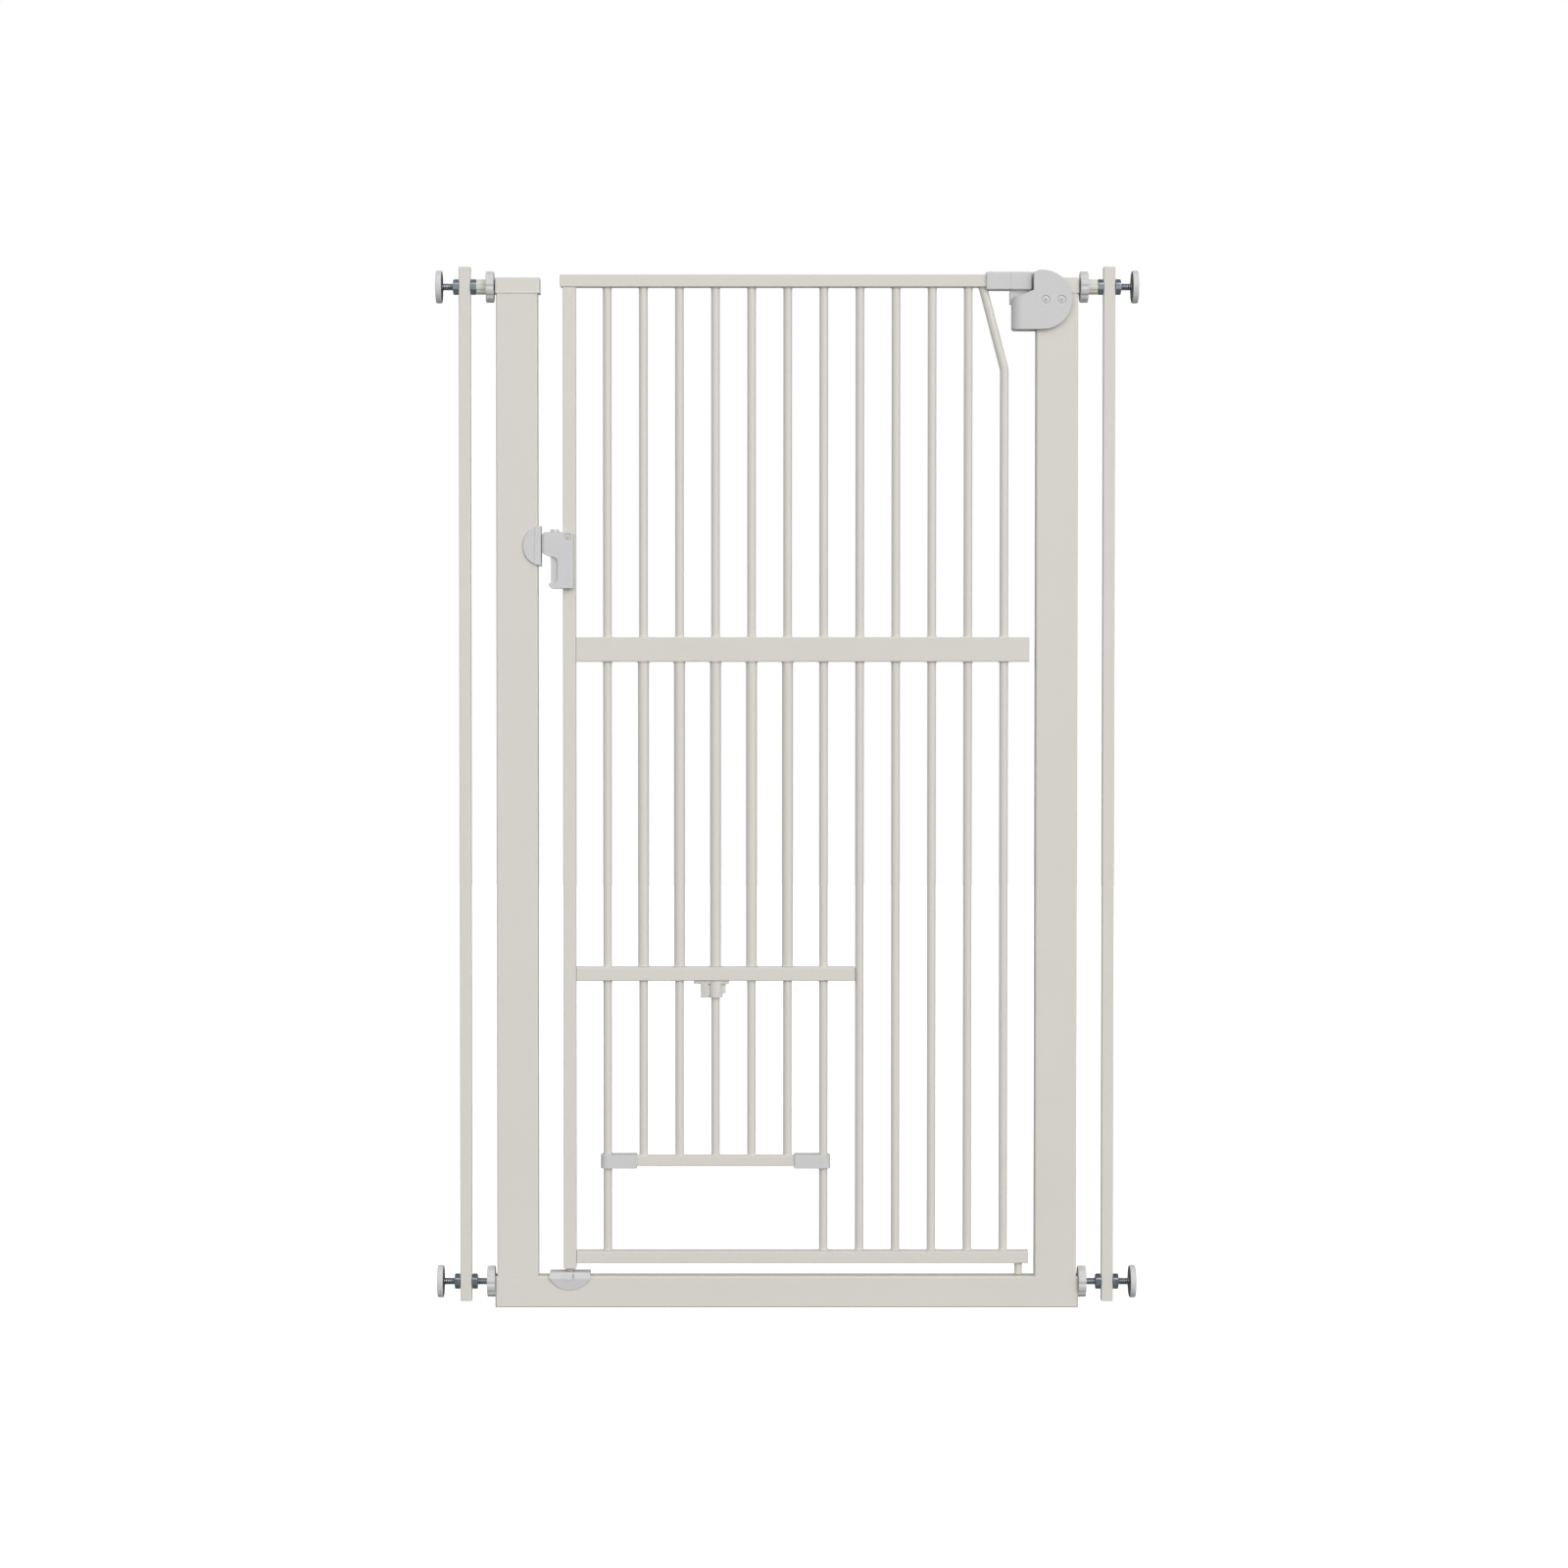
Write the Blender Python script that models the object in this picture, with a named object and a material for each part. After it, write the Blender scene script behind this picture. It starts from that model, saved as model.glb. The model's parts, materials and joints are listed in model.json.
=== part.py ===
"""A tall pressure-fit pet gate: a U frame of two posts on a floor rail, a swinging and lifting
barred door with a small lift-up pet door in it, and four threaded wall spindles that carry
an extension bar on each side.

Units are metres. X runs along the gate, with the hinge on the left, at -X. +Y is the side
the door opens to, and +Z is up. The origin is on the floor, midway between the walls.
"""
import math

import bmesh
import bpy
from mathutils import Matrix, Vector

# ---------------------------------------------------------------- driving dimensions
GAP = 0.0003                # left between pieces that touch
PAST = 0.01                 # how far a cutter runs past what it cuts
SEGMENTS = 16               # sides of every round bar and bore

POST_GAP = 0.575            # clear width between the posts
POST_WIDTH, POST_DEPTH, POST_WALL = 0.048, 0.025, 0.0015
POST_TOP = 1.1882
POST_CORNER, BORE_CORNER = 0.0015, 0.0005
FLOOR_RAIL_HEIGHT = 0.0365
RAIL_OVERHANG = 0.001       # floor rail past the post, each side
CAP_TOP, CAP_HEIGHT, CAP_WALL = 1.191, 0.018, 0.0016
CAP_LIP = 0.0027            # the left cap is thicker towards the door
CAP_CORNER = 0.002
PLUG_FLANGE, PLUG_DEPTH, PLUG_CORNER = 0.001, 0.018, 0.001

WALL_REACH = 0.405          # from the centre to each wall
SPINDLE_Z = {"bottom": 0.029, "top": 1.181}
ROD_RADIUS, ROD_HOLE, ROD_INNER_END = 0.004, 0.0046, 0.295
THREAD_BORE = 0.00435
PAD_RADIUS, PAD_THICKNESS, PAD_ROUND = 0.01875, 0.007, 0.0012
WHEEL_INNER, WHEEL_WIDTH, WHEEL_RADIUS = 0.3381, 0.0092, 0.018
WHEEL_LOBES, WHEEL_SCALLOP = 10, 0.0013
SLEEVE_RADIUS, SLEEVE_RIBS, SLEEVE_GROOVE = 0.0087, 8, 0.0008
NUT_RADIUS, NUT_THICKNESS = 0.009, 0.0062
SIDE_BAR_X, SIDE_BAR_SIZE, SIDE_BAR_WALL = 0.372, 0.0135, 0.0012
SIDE_BAR_Z = (0.0066, 1.204)

HINGE_X = -0.2513           # the door's upright axis
TUBE, TUBE_WALL, TUBE_ROUND = 0.015, 0.0012, 0.0015
STILE_Z = (0.0448, 1.1802)
TOP_RAIL_Z = (1.1805, 1.195)
MID_RAIL_Z = (0.7485, 0.777)
LINTEL_Z = (0.379, 0.395)
LOW_RAIL_Z = (0.0508, 0.0653)
DOOR_RIGHT = 0.2803         # free end of the middle and low rails
TOP_RAIL_X = (-0.2622, 0.276)
BARS, FIRST_BAR_X, BAR_PITCH = 12, -0.2076, 0.0417
BAR_RADIUS, BAR_BORE = 0.005, 0.0042
SLEEVE_TUBE_RADIUS, SLEEVE_TUBE_BORE = 0.00635, 0.00535
BAR_HOLE = 0.0055
BENT_BAR_TOP_X, BEND_Z, BEND_RADIUS = 0.2264, 1.086, 0.02
STOP_PIN_X, STOP_PIN_RADIUS, STOP_PIN_END = 0.269, 0.0045, 0.037
FOOT_PIN_RADIUS, FOOT_PIN_HOLE = 0.003, 0.0036
FOOT_PIN_END, FOOT_NECK, FOOT_PLUG = 0.018, 0.0436, 0.02

PET_BARS = range(1, 6)      # the bars that lift, between guide bars 0 and 6
PET_RAIL_Z, PET_RAIL_DEPTH = (0.1637, 0.1758), 0.012
PET_BAR_TOP = 0.516
CLIP_Z, CLIP_LENGTH, CLIP_Y = (0.1609, 0.1769), 0.042, (-0.0078, 0.0142)
CLIP_CORNER = 0.0025
CLIP_PAST_BAR = 0.0081      # from the guide bar's axis to the clip's outer end
PET_RAIL_INTO_CLIP = 0.0113

LATCH_DEPTH = 0.018         # half the depth of the latch housing
LOBE_X, LOBE_Z, LOBE_RADIUS = 0.294, 1.1653, 0.034
NOSE_X, NOSE_TOP, NOSE_ROUND = 0.2593, 1.1692, 0.011
NOSE_CORNER, LOBE_CORNER = 0.003, 0.007
SLIT_X = 0.284
SLIT_WALL = 0.0016          # left of the lobe, beside the tongue's seat
SLIT_FOOT = ((0.0, 0.0067), (-0.003, 0.0062), (-0.0150, 0.0))   # from the slit and the nose's top
SEAT_GAP, SEAT_DROP = 0.0009, 0.0005
LATCH_SCREW_X, LATCH_SCREW_Z = (0.2981, 0.3163), 1.1665
LATCH_SCREW_RADIUS, LATCH_SCREW_DEPTH = 0.0048, 0.0013
HANDLE_X = (0.2299, 0.2575, 0.2817)     # thumb slider from first to second, end cap to third
HANDLE_Z, HANDLE_DEPTH, HANDLE_CORNER = (1.1773, 1.1978), 0.0105, 0.001
SLIDER_GAP = 0.0004
TONGUE_X, TONGUE_BOTTOM, TONGUE_DEPTH = (0.257, 0.2803), 1.1608, 0.005

BLOCK_DEPTH = 0.0148        # half the depth of the upper hinge block
BLOCK_RIGHT, BLOCK_LEFT = -0.2463, -0.2835
BLOCK_Z = (0.8333, 0.898)
BARREL_BOTTOM = 0.8713
BLOCK_CORNER, BLOCK_SHOULDER = 0.004, 0.006
SCOOP_X, SCOOP_BACK = -0.2645, -0.0105         # right end of the finger scoop, and its back plate
BLOCK_SCREW, BLOCK_SCREW_RADIUS, BLOCK_SCREW_DEPTH = (-0.2531, 0.8918), 0.0039, 0.0012
BUSH_Z, BUSH_RADIUS, BLOCK_BORE = (0.8450, 0.8900), 0.0112, 0.0107
BUSH_MOUTH = BLOCK_RIGHT - 0.0002
LUG_Z, LUG_RADIUS, LUG_GAP = (0.8785, 0.8875), 0.0042, 0.0004
HINGE_PIN_X, PIN_RADIUS, PIN_HOLE = -0.2684, 0.0025, 0.0028
PIN_HEAD_RADIUS, PIN_HEAD, PIN_CHAMFER = 0.005, 0.0032, 0.001
SADDLE_DEPTH = 0.0153       # half the depth of both saddles
UPPER_SADDLE_Z, UPPER_SADDLE_EDGE, UPPER_SADDLE_REACH = (0.859, 0.905), -0.2838, 0.0212
LOWER_SADDLE_Z, LOWER_SADDLE_WAIST, LOWER_SADDLE_HALF = (0.0204, 0.0408), 0.034, 0.0237

LOCK_FLANGE_X, LOCK_FLANGE_Z = (-0.1077, -0.0667), (0.3752, 0.3787)
LOCK_FLANGE_DEPTH = 0.0055  # half the depth
LOCK_COLLAR_RADIUS, LOCK_BOTTOM = 0.00825, 0.3595
LOCK_TAB_REACH, LOCK_TAB_BOTTOM, LOCK_TAB_DEPTH = (0.006, 0.0119), 0.364, 0.003
LOCK_WINDOW_REACH, LOCK_WINDOW_Z = (0.0095, 0.003), (0.3615, 0.3735)
BUTTON_REACH = (0.0173, 0.0113, 0.0077)     # its face, hollow end and nose, from the bar's axis
BUTTON_BOTTOM, BUTTON_DEPTH = 0.3597, 0.0075
BUTTON_NOSE_Z, BUTTON_NOSE_DEPTH = (0.3618, 0.3732), 0.0036
BUTTON_GROOVES, BUTTON_GROOVE_Z, BUTTON_GROOVE, BUTTON_RIB = 3, 0.3629, 0.0006, 0.0012

# ---------------------------------------------------------------- derived places
POST_IN = POST_GAP / 2
POST_OUT = POST_IN + POST_WIDTH
RAIL_END = POST_OUT + RAIL_OVERHANG
HALF_DEPTH = POST_DEPTH / 2
SIDES = {"left": -1, "right": 1}


def bar_x(index):
    return FIRST_BAR_X + index * BAR_PITCH


# ---------------------------------------------------------------- materials
def material(name, colour, roughness, metallic=0.0):
    made = bpy.data.materials.new(name)
    made.use_nodes = True
    shader = made.node_tree.nodes["Principled BSDF"]
    shader.inputs["Base Color"].default_value = (*colour, 1.0)
    shader.inputs["Roughness"].default_value = roughness
    shader.inputs["Metallic"].default_value = metallic
    made.diffuse_color = (*colour, 1.0)
    return made


def make_materials():
    return {
        "enamel": material("enamel", (0.65, 0.63, 0.58), 0.45),
        "plastic": material("plastic", (0.60, 0.60, 0.61), 0.5),
        "lock_plastic": material("lock_plastic", (0.65, 0.64, 0.60), 0.5),
        "sleeve_plastic": material("sleeve_plastic", (0.73, 0.72, 0.62), 0.45),
        "pad_rubber": material("pad_rubber", (0.55, 0.55, 0.56), 0.7),
        "zinc": material("zinc", (0.45, 0.48, 0.52), 0.3, 1.0),
    }


# ---------------------------------------------------------------- mesh helpers
def as_object(name, bm, smooth=False):
    """A mesh turned into an object, with its faces pointing out."""
    bmesh.ops.recalc_face_normals(bm, faces=bm.faces)
    mesh = bpy.data.meshes.new(name)
    bm.to_mesh(mesh)
    bm.free()
    if smooth:
        mesh.shade_smooth()
        mesh.set_sharp_from_angle(angle=math.radians(40))
    made = bpy.data.objects.new(name, mesh)
    bpy.context.scene.collection.objects.link(made)
    return made


def on_axis(axis, across, up, along):
    """The point at (across, up) on the plane that axis leaves at along."""
    return {"X": (along, across, up), "Y": (across, along, up), "Z": (across, up, along)}[axis]


def prism(name, outline, axis, low, high, smooth=False):
    """An outline pushed along an axis: (y, z) for X, (x, z) for Y and (x, y) for Z."""
    bm = bmesh.new()
    rings = [[bm.verts.new(on_axis(axis, *p, h)) for p in outline] for h in (low, high)]
    bm.faces.new(rings[0])
    bm.faces.new(rings[1])
    join_rings(bm, rings[0], rings[1])
    return as_object(name, bm, smooth)


def join_rings(bm, ring, other):
    count = len(ring)
    for i in range(count):
        k = (i + 1) % count
        bm.faces.new((ring[i], ring[k], other[k], other[i]))


def hollow_prism(name, outer, inner, axis, low, high, smooth=False):
    """A tube with open ends, from two outlines with the same number of points."""
    bm = bmesh.new()
    out = [[bm.verts.new(on_axis(axis, *p, h)) for p in outer] for h in (low, high)]
    bore = [[bm.verts.new(on_axis(axis, *p, h)) for p in inner] for h in (low, high)]
    join_rings(bm, out[0], out[1])
    join_rings(bm, bore[0], bore[1])
    join_rings(bm, out[0], bore[0])
    join_rings(bm, out[1], bore[1])
    return as_object(name, bm, smooth)


def box(name, low, high):
    (x0, y0, z0), (x1, y1, z1) = low, high
    return prism(name, [(x0, y0), (x1, y0), (x1, y1), (x0, y1)], "Z", z0, z1)


def arc(centre, radius, start, end, steps):
    """Points on an arc, its angles in degrees. radius may be a pair, for an ellipse."""
    rx, ry = radius if isinstance(radius, tuple) else (radius, radius)
    angles = [math.radians(start + (end - start) * i / steps) for i in range(steps + 1)]
    return [(centre[0] + rx * math.cos(a), centre[1] + ry * math.sin(a)) for a in angles]


def circle(centre, radius, count=SEGMENTS):
    """A ring of points that starts half a step round, so that flats face the axes."""
    step = 2 * math.pi / count
    return [
        (centre[0] + radius * math.cos(step * (i + 0.5)),
         centre[1] + radius * math.sin(step * (i + 0.5)))
        for i in range(count)
    ]


def round_rect(centre, width, height, corner, steps=2):
    """A rectangle's outline with rounded corners."""
    cx, cy = centre
    x, y = width / 2 - corner, height / 2 - corner
    corners = ((x, y, 0), (-x, y, 90), (-x, -y, 180), (x, -y, 270))
    return [
        p for dx, dy, a in corners for p in arc((cx + dx, cy + dy), corner, a, a + 90, steps)
    ]


def turned(name, profile, axis, centre, count=SEGMENTS):
    """A closed profile of (radius, height) turned about an axis through centre."""
    bm = bmesh.new()
    step = 2 * math.pi / count
    rings = []
    for radius, height in profile:
        if radius == 0:
            hub = bm.verts.new(on_axis(axis, *centre, height))
            rings.append([hub] * count)
            continue
        rings.append([
            bm.verts.new(on_axis(
                axis,
                centre[0] + radius * math.cos(step * (i + 0.5)),
                centre[1] + radius * math.sin(step * (i + 0.5)),
                height,
            ))
            for i in range(count)
        ])
    for ring, other in zip(rings, rings[1:] + rings[:1]):
        for i in range(count):
            k = (i + 1) % count
            corners = list(dict.fromkeys((ring[i], ring[k], other[k], other[i])))
            if len(corners) > 2:
                bm.faces.new(corners)
    return as_object(name, bm, smooth=True)


def combine(target, tool, operation):
    """Cuts, joins or intersects target with tool, and removes tool."""
    modifier = target.modifiers.new(operation.lower(), "BOOLEAN")
    modifier.operation = operation
    modifier.object = tool
    modifier.solver = "EXACT"
    graph = bpy.context.evaluated_depsgraph_get()
    mesh = bpy.data.meshes.new_from_object(target.evaluated_get(graph))
    target.modifiers.clear()
    old, target.data = target.data, mesh
    bpy.data.meshes.remove(old)
    bpy.data.objects.remove(tool)
    return target


def cut(target, tool):
    return combine(target, tool, "DIFFERENCE")


def join(target, tool):
    return combine(target, tool, "UNION")


def cut_box(target, low, high):
    return cut(target, box("cutter", low, high))


def cut_round(target, axis, centre, radius, low, high):
    """Bores a round hole. centre is as in circle, on the plane across the axis."""
    return cut(target, prism("cutter", circle(centre, radius), axis, low, high))


def along(side, near, far):
    """Two distances from the centre, as a low and a high x on one side."""
    return sorted((side * near, side * far))


def mirrored(low, high, side):
    """A box's corners, on the given side of the gate."""
    xs = sorted((side * low[0], side * high[0]))
    return (xs[0], *low[1:]), (xs[1], *high[1:])


# ---------------------------------------------------------------- frame
def floor_rail():
    width, wall = POST_DEPTH, POST_WALL
    height, middle = FLOOR_RAIL_HEIGHT, FLOOR_RAIL_HEIGHT / 2
    outer = round_rect((0, middle), width, height, POST_CORNER, 1)
    inner = round_rect((0, middle), width - 2 * wall, height - 2 * wall, BORE_CORNER, 1)
    rail = hollow_prism("floor_rail", outer, inner, "X", -RAIL_END, RAIL_END)
    return cut_round(rail, "Z", (HINGE_X, 0), FOOT_PIN_HOLE, middle, height + PAST)


def post(side_name):
    side = SIDES[side_name]
    centre = (side * (POST_IN + POST_WIDTH / 2), 0)
    outer = round_rect(centre, POST_WIDTH, POST_DEPTH, POST_CORNER, 1)
    wall = 2 * POST_WALL
    inner = round_rect(centre, POST_WIDTH - wall, POST_DEPTH - wall, BORE_CORNER, 1)
    low = FLOOR_RAIL_HEIGHT + GAP
    made = hollow_prism(f"{side_name}_post", outer, inner, "Z", low, POST_TOP)
    reach = along(side, POST_OUT - PAST, POST_OUT + PAST)
    return cut_round(made, "X", (0, SPINDLE_Z["top"]), ROD_HOLE, *reach)


def post_cap(side_name):
    """A cap with a skirt over the top of a post, bored for the spindle."""
    side = SIDES[side_name]
    lip = CAP_LIP if side < 0 else CAP_WALL
    inner_x = POST_IN - GAP - lip
    outer_x = POST_OUT + GAP + CAP_WALL
    y = HALF_DEPTH + GAP + CAP_WALL
    bottom = CAP_TOP - CAP_HEIGHT
    centre = (side * (inner_x + outer_x) / 2, 0)
    outline = round_rect(centre, outer_x - inner_x, 2 * y, CAP_CORNER)
    cap = prism(f"{side_name}_post_cap", outline, "Z", bottom, CAP_TOP)
    hollow = mirrored(
        (POST_IN - GAP, -HALF_DEPTH - GAP, bottom - PAST),
        (POST_OUT + GAP, HALF_DEPTH + GAP, POST_TOP + GAP),
        side,
    )
    cut_box(cap, *hollow)
    reach = along(side, POST_OUT - PAST, POST_OUT + PAST)
    return cut_round(cap, "X", (0, SPINDLE_Z["top"]), ROD_HOLE, *reach)


def rail_plug(side_name):
    """A plug in the floor rail's end, with a flange and a bore that guides the spindle."""
    side = SIDES[side_name]
    middle = FLOOR_RAIL_HEIGHT / 2
    start = RAIL_END + GAP
    flange = along(side, start, start + PLUG_FLANGE)
    outline = round_rect((0, middle), POST_DEPTH, FLOOR_RAIL_HEIGHT, POST_CORNER, 1)
    plug = prism(f"{side_name}_rail_plug", outline, "X", *flange)
    inside = 2 * (POST_WALL + GAP)
    size = POST_DEPTH - inside, FLOOR_RAIL_HEIGHT - inside
    body = round_rect((0, middle), *size, PLUG_CORNER, 1)
    reach = along(side, start - PLUG_DEPTH, start + PLUG_FLANGE / 2)
    join(plug, prism("plug_body", body, "X", *reach))
    through = along(side, start - PLUG_DEPTH - PAST, start + PAST)
    return cut_round(plug, "X", (0, SPINDLE_Z["bottom"]), ROD_HOLE, *through)


# ---------------------------------------------------------------- latch housing on the right post
def latch_outline(slit):
    """The housing from the front: a rounded lobe over the post and a low nose beside it."""
    bottom, top = LOBE_Z - LOBE_RADIUS, LOBE_Z + LOBE_RADIUS
    nose, lobe = NOSE_CORNER, LOBE_CORNER
    outline = [(LOBE_X, bottom)]
    outline += arc((LOBE_X, LOBE_Z), LOBE_RADIUS, -84, 84, 14)
    outline += arc((slit + lobe, top - lobe), lobe, 90, 180, 4)
    outline += [(slit + dx, NOSE_TOP + dz) for dx, dz in SLIT_FOOT]
    outline += arc((NOSE_X + nose, NOSE_TOP - nose), nose, 90, 180, 3)
    outline += arc((NOSE_X + nose, bottom + nose), nose, 180, 270, 3)
    return outline


def latch_plan():
    """The housing from above: the free end of the nose is rounded."""
    right, y, r = LOBE_X + LOBE_RADIUS + PAST, LATCH_DEPTH, NOSE_ROUND
    plan = [(right, -y), (right, y)]
    plan += arc((NOSE_X + r, y - r), r, 90, 180, 4)
    plan += arc((NOSE_X + r, r - y), r, 180, 270, 4)
    return plan


def latch_housing(half):
    """One of the two moulded halves that close round the post. The tongue's seat is open above,
    at the free end and at the back."""
    front = half == "front"
    y = (-LATCH_DEPTH, -GAP / 2) if front else (GAP / 2, LATCH_DEPTH)
    seat_right = SLIT_X - SLIT_WALL
    slit = SLIT_X if front else seat_right - SLIT_WALL
    shell = prism(f"latch_housing_{half}", latch_outline(slit), "Y", *y)
    low, high = LOBE_Z - LOBE_RADIUS - PAST, LOBE_Z + LOBE_RADIUS + PAST
    combine(shell, prism("plan", latch_plan(), "Z", low, high), "INTERSECT")
    # pocket for the post and its cap
    cap_side = POST_IN - GAP - CAP_WALL
    cap_face = HALF_DEPTH + CAP_WALL + 2 * GAP
    cut_box(shell, (cap_side - GAP, -cap_face, low), (POST_OUT + PAST, cap_face, CAP_TOP + GAP))
    # seat of the tongue, which also ends the back half's lobe
    seat_left = NOSE_X - PAST
    seat_front = -TONGUE_DEPTH - SEAT_GAP
    seat_low = TONGUE_BOTTOM - SEAT_DROP
    cut_box(shell, (seat_left, seat_front, seat_low), (seat_right, LATCH_DEPTH + PAST, high))
    if front:
        floor = LATCH_SCREW_DEPTH - LATCH_DEPTH
        for x in LATCH_SCREW_X:
            centre = (x, LATCH_SCREW_Z)
            cut_round(shell, "Y", centre, LATCH_SCREW_RADIUS, -LATCH_DEPTH - PAST, floor)
    return shell


# ---------------------------------------------------------------- hinges
def upper_saddle():
    """Clips over the left post's inner edge and holds out a lug for the hinge block."""
    face, (z0, z1) = -POST_IN + GAP, UPPER_SADDLE_Z
    centre, radii = (UPPER_SADDLE_EDGE, (z0 + z1) / 2), (UPPER_SADDLE_REACH, (z1 - z0) / 2)
    half_moon = arc(centre, radii, 90, 270, 12)
    whole = prism("upper_saddle", half_moon, "Y", -SADDLE_DEPTH, SADDLE_DEPTH)
    inside = HALF_DEPTH + GAP
    cut_box(whole, (-POST_OUT, -inside, z0 - PAST), (face, inside, z1 + PAST))
    lug_end = HINGE_PIN_X
    root = face + 0.001
    lug = box("lug", (root, -LUG_RADIUS, LUG_Z[0]), (lug_end, LUG_RADIUS, LUG_Z[1]))
    knuckle = prism("knuckle", circle((lug_end, 0), LUG_RADIUS), "Z", *LUG_Z)
    join(lug, knuckle)
    join(whole, lug)
    return cut_round(whole, "Z", (HINGE_PIN_X, 0), PIN_HOLE, LUG_Z[0] - PAST, LUG_Z[1] + PAST)


def hinge_block():
    """Holds the stile in a bore that is open towards the door, and takes the saddle's lug."""
    r, shoulder = BLOCK_CORNER, BLOCK_SHOULDER
    low, high = BLOCK_Z
    mouth = BARREL_BOTTOM
    left, right = BLOCK_LEFT, BLOCK_RIGHT
    outline = arc((right - r, high - r), r, 0, 90, 3)
    outline += arc((left + shoulder, high - shoulder), shoulder, 90, 180, 3)
    outline += [(left, mouth + 0.005), (left + 0.003, mouth + 0.0015), (left + 0.011, mouth - 0.002)]
    outline += [(left + 0.011, low + 0.0063), (left + 0.0088, low + 0.004)]
    outline += [(left + 0.0095, low + 0.001), (left + 0.012, low), (right - 0.002, low)]
    outline += [(right, low + 0.002)]
    block = prism("hinge_block", outline, "Y", -BLOCK_DEPTH, BLOCK_DEPTH)
    # finger scoop in front of the back plate
    end, scoop_low = SCOOP_X, low + 0.0063
    scoop = [(left, scoop_low), (end - 0.002, scoop_low), (end, scoop_low + 0.005)]
    scoop += [(end, mouth - 0.006), (end - 0.003, mouth - 0.002), (left, mouth)]
    cut(block, prism("scoop", scoop, "Y", -BLOCK_DEPTH - PAST, SCOOP_BACK))
    # bore for the stile and the wider seat of its bush
    cut_round(block, "Z", (HINGE_X, 0), BLOCK_BORE, low - PAST, high + PAST)
    seat = BUSH_RADIUS + GAP
    cut_round(block, "Z", (HINGE_X, 0), seat, BUSH_Z[0] - GAP, BUSH_Z[1] + GAP)
    # slot for the lug, and the pin's hole
    slot = LUG_RADIUS + LUG_GAP
    z0, z1 = LUG_Z[0] - GAP, LUG_Z[1] + GAP
    cutter = box("slot", (left - PAST, -slot, z0), (HINGE_PIN_X, slot, z1))
    join(cutter, prism("slot_end", circle((HINGE_PIN_X, 0), slot), "Z", z0, z1))
    cut(block, cutter)
    cut_round(block, "Z", (HINGE_PIN_X, 0), PIN_HOLE, mouth + 0.0015, high + PAST)
    # screw recess in the front face
    reach = -BLOCK_DEPTH - PAST, -BLOCK_DEPTH + BLOCK_SCREW_DEPTH
    return cut_round(block, "Y", BLOCK_SCREW, BLOCK_SCREW_RADIUS, *reach)


def hinge_pin():
    """Ties the hinge block to the saddle's lug. Its head is on top of the block."""
    shank, head, edge = PIN_RADIUS, PIN_HEAD_RADIUS, PIN_CHAMFER
    foot, base = BARREL_BOTTOM + 0.0018, BLOCK_Z[1] + GAP
    top = base + PIN_HEAD
    profile = [(0, foot), (shank, foot), (shank, base), (head, base)]
    profile += [(head, top - edge), (head - edge, top), (0, top)]
    return turned("hinge_pin", profile, "Z", (HINGE_PIN_X, 0))


def hinge_bush():
    """A C-shaped bush that turns with the stile and lets it slide up and down."""
    bush = prism("hinge_bush", circle((HINGE_X, 0), BUSH_RADIUS, 32), "Z", *BUSH_Z)
    square = TUBE + 2 * GAP
    hole = round_rect((HINGE_X, 0), square, square, TUBE_ROUND)
    low, high = BUSH_Z[0] - PAST, BUSH_Z[1] + PAST
    cut(bush, prism("square_hole", hole, "Z", low, high))
    side = BUSH_RADIUS + PAST
    return cut_box(bush, (BUSH_MOUTH, -side, low), (HINGE_X + side, side, high))


def lower_saddle():
    """Straddles the floor rail and takes the door's foot pivot."""
    (bottom, top), half = LOWER_SADDLE_Z, LOWER_SADDLE_HALF
    drop = LOWER_SADDLE_WAIST - bottom
    radius = (half * half + drop * drop) / (2 * drop)
    lean = math.degrees(math.asin(half / radius))
    outline = [(HINGE_X - half, top)]
    outline += arc((HINGE_X, bottom + radius), radius, 270 - lean, 270 + lean, 12)
    outline += [(HINGE_X + half, top)]
    low = prism("lower_saddle", outline, "Y", -SADDLE_DEPTH, SADDLE_DEPTH)
    inside = HALF_DEPTH + GAP
    reach = half + PAST
    cut_box(low, (HINGE_X - reach, -inside, 0), (HINGE_X + reach, inside, FLOOR_RAIL_HEIGHT + GAP))
    return cut_round(low, "Z", (HINGE_X, 0), FOOT_PIN_HOLE, bottom, top + PAST)


# ---------------------------------------------------------------- door
def stile():
    outer = round_rect((HINGE_X, 0), TUBE, TUBE, TUBE_ROUND)
    inner_size = TUBE - 2 * TUBE_WALL
    inner = round_rect((HINGE_X, 0), inner_size, inner_size, BORE_CORNER)
    return hollow_prism("stile", outer, inner, "Z", *STILE_Z)


def foot_pivot():
    """A plug in the stile's foot, with the pin that stands in the lower saddle."""
    foot, neck, end, r = STILE_Z[0] - GAP, FOOT_NECK, FOOT_PIN_END, FOOT_PIN_RADIUS
    half = TUBE / 2 - TUBE_WALL - GAP
    profile = [(0, end), (r - 0.001, end), (r, end + 0.001), (r, neck)]
    profile += [(0.0066, neck + 0.0006), (0.0072, foot), (0, foot)]
    pivot = turned("foot_pivot", profile, "Z", (HINGE_X, 0))
    top = foot + FOOT_PLUG
    plug = box("plug", (HINGE_X - half, -half, foot - 0.001), (HINGE_X + half, half, top))
    return join(pivot, plug)


def door_rail(name, x, z, open_end):
    """A square-cornered tube between two x, closed at one end."""
    half = TUBE / 2
    rail = box(name, (x[0], -half, z[0]), (x[1], half, z[1]))
    inside = half - TUBE_WALL
    x0 = x[0] - PAST if open_end == "left" else x[0] + TUBE_WALL
    x1 = x[1] + PAST if open_end == "right" else x[1] - TUBE_WALL
    return cut_box(rail, (x0, -inside, z[0] + TUBE_WALL), (x1, inside, z[1] - TUBE_WALL))


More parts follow.
